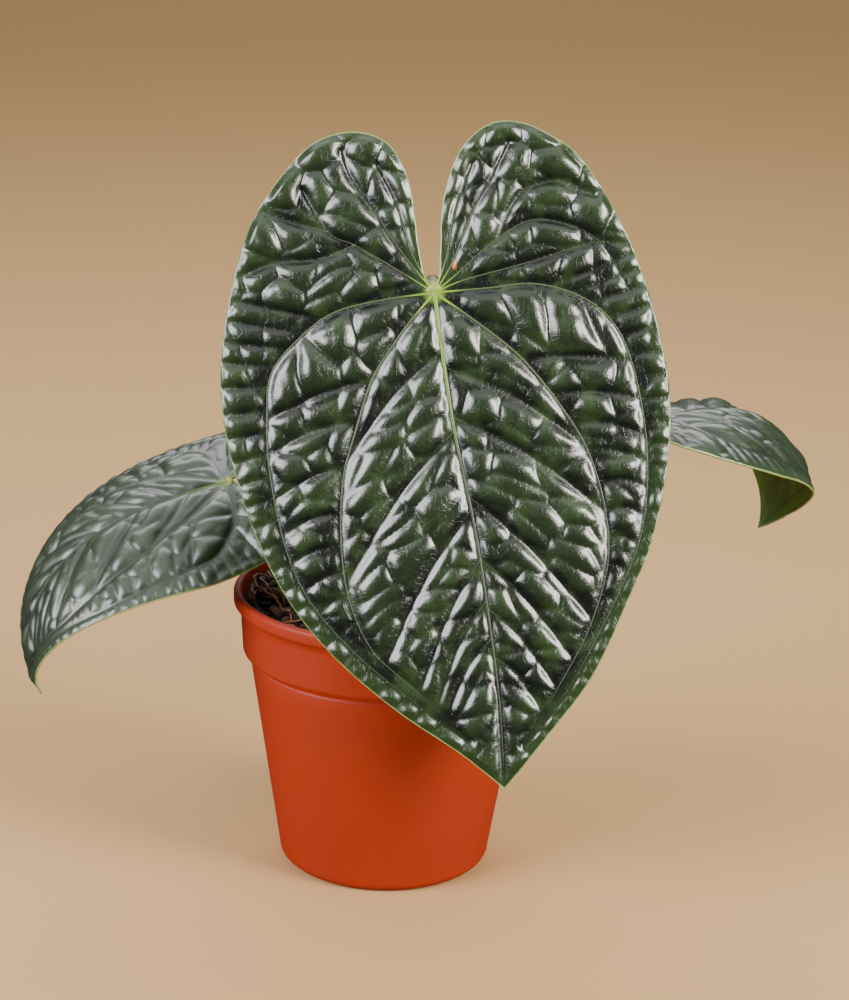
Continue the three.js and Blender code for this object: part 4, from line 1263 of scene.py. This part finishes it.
def aerial_root(turn):
    """A thick root that arches out of the stem and down into the mix."""
    top, reach = AERIAL_ROOT["top"], AERIAL_ROOT["reach"]
    stops = [(3, top), (0.6 * reach, top - 1), (reach, AERIAL_ROOT["bend"]), (reach + 1, AERIAL_ROOT["end"])]
    x, y = math.cos(turn), math.sin(turn)
    path = smooth_line([[STEM["x"] + r * x, STEM["y"] + r * y, z] for r, z in stops], 0.8)
    radius = AERIAL_ROOT["radius"] * (1 - TAPERED_OFF * np.linspace(0, 1, len(path)))
    return tube(path, radius, 14, across=[-y, x, 0])


def stem_material():
    """Old stem: olive green between brown, corky leaf scars."""
    material, tree, where = start_material("scarred_green_stem")
    blotches = add_node(tree, "ShaderNodeTexNoise", {
        "Vector": where["Object"], "Scale": per_metre(BLOTCH_MM), "Detail": 5.0,
        "Roughness": 0.65}).outputs[0]
    worn = add_node(tree, "ShaderNodeMapRange", {"Value": blotches, "From Min": 0.38, "From Max": 0.62},
                    interpolation_type="SMOOTHSTEP").outputs["Result"]
    tint = add_node(tree, "ShaderNodeMix", {0: worn, MIX_A: colour("#6a7038"), MIX_B: colour("#6e4c2a")},
                    data_type="RGBA").outputs[MIX_RESULT]
    finish_material(tree, blotches, strength=0.6, depth_mm=0.5,
                    sockets={"Base Color": tint, "Roughness": 0.6})
    return material


stem_skin = stem_material()
add_piece("ringed_stem", *stem_axis(), stem_skin, "stem", ["stem"])
sheath_turns = [(k + 0.45) / SHEATH["count"] * 2 * math.pi for k in range(SHEATH["count"])]
add_piece("papery_sheaths", *join_parts([sheath(turn) for turn in sheath_turns]), stem_skin, "stem")
root_turns = [(k + 0.3) / AERIAL_ROOT["count"] * 2 * math.pi for k in range(AERIAL_ROOT["count"])]
add_piece("aerial_roots", *join_parts([aerial_root(turn) for turn in root_turns]), root_skin, "stem")

# %% [markdown]
# ## The floor and the light
# Two soft boxes stand left and right of the camera, well off its axis. The blades face the camera, so their
# dome tops mirror the dark between the boxes and only their slopes mirror the boxes. That gives the white
# flashes beside dark green that make the quilting show. A wide box behind the plant lights its edges, and a
# large weak one overhead lights the floor evenly. The floor is plain and pale, and sweeps up far behind, so
# that no horizon shows. It is hidden from reflections, or it would tint the leaves from below.

# %% The floor
FLOOR_HALF_WIDTH = 6000
FLOOR_FRONT = -16000
SWEEP_START, SWEEP_RADIUS, SWEEP_HEIGHT = 900, 3000, 3600
FIBRE_MM = 2


def add_floor():
    """A plain pale surface, swept up far behind. It isn't part of the object, and nothing mirrors it."""
    material, tree, where = start_material("pale_paper")
    fibres = add_node(tree, "ShaderNodeTexNoise", {
        "Vector": where["Object"], "Scale": per_metre(FIBRE_MM), "Detail": 3.0}).outputs[0]
    finish_material(tree, fibres, strength=0.1, depth_mm=0.1,
                    sockets={"Base Color": colour("#c29b67"), "Roughness": 0.9})
    turn = np.linspace(0, math.pi / 2, 33)
    bend = np.stack([SWEEP_START + SWEEP_RADIUS * np.sin(turn), SWEEP_RADIUS * (1 - np.cos(turn))], -1)
    profile = np.vstack([[FLOOR_FRONT, 0], bend, [SWEEP_START + SWEEP_RADIUS, SWEEP_HEIGHT]])
    points = np.array([[x, y, z] for y, z in profile for x in (-FLOOR_HALF_WIDTH, FLOOR_HALF_WIDTH)])
    floor = add_object("floor", points, [grid_faces(len(profile), 2)[:, ::-1]])
    floor.data.materials.append(material)
    floor.visible_glossy = False


add_floor()

# %% The light
def add_softbox(name, place, aim, size, power, tint):
    """A soft box of that width and height at place, in metres, that faces aim."""
    data = bpy.data.lights.new(name, "AREA")
    data.shape = "RECTANGLE"
    data.size, data.size_y = size
    data.energy = power
    data.color = colour(tint)[:3]
    light = bpy.data.objects.new(name, data)
    bpy.context.scene.collection.objects.link(light)
    back = unit(np.subtract(place, aim))
    right = unit(np.cross([0, 0, 1], back))
    matrix = np.eye(4)
    matrix[:3, 0], matrix[:3, 1], matrix[:3, 2], matrix[:3, 3] = right, np.cross(back, right), back, place
    light.matrix_world = Matrix(matrix.tolist())


AIM = (0.01, -0.02, 0.17)
add_softbox("left_box", (-1.15, -0.7, 0.72), AIM, (0.9, 1.1), 42, "#f5f2f7")
add_softbox("right_box", (1.15, -0.7, 0.7), AIM, (0.5, 1.0), 40, "#fffaf2")
add_softbox("back_box", (-0.1, 0.95, 1.05), AIM, (1.5, 0.6), 11, "#ffffff")
add_softbox("ceiling_box", (0, 0, 3.2), AIM, (4, 4), 45, "#ffffff")

world = bpy.data.worlds.new("pale_room")
world.use_nodes = True
room = world.node_tree.nodes["Background"].inputs
room[0].default_value, room[1].default_value = colour("#dcdedc"), 0.07
bpy.context.scene.world = world

# %% [markdown]
# ## The last measure
# The triangles of all the pieces are counted and printed. The dressed plant has to fill the
# same box as its solid model.

# %% The last measure
print(sum(triangles for _, triangles in PIECES), "triangles in", len(PIECES), "pieces")
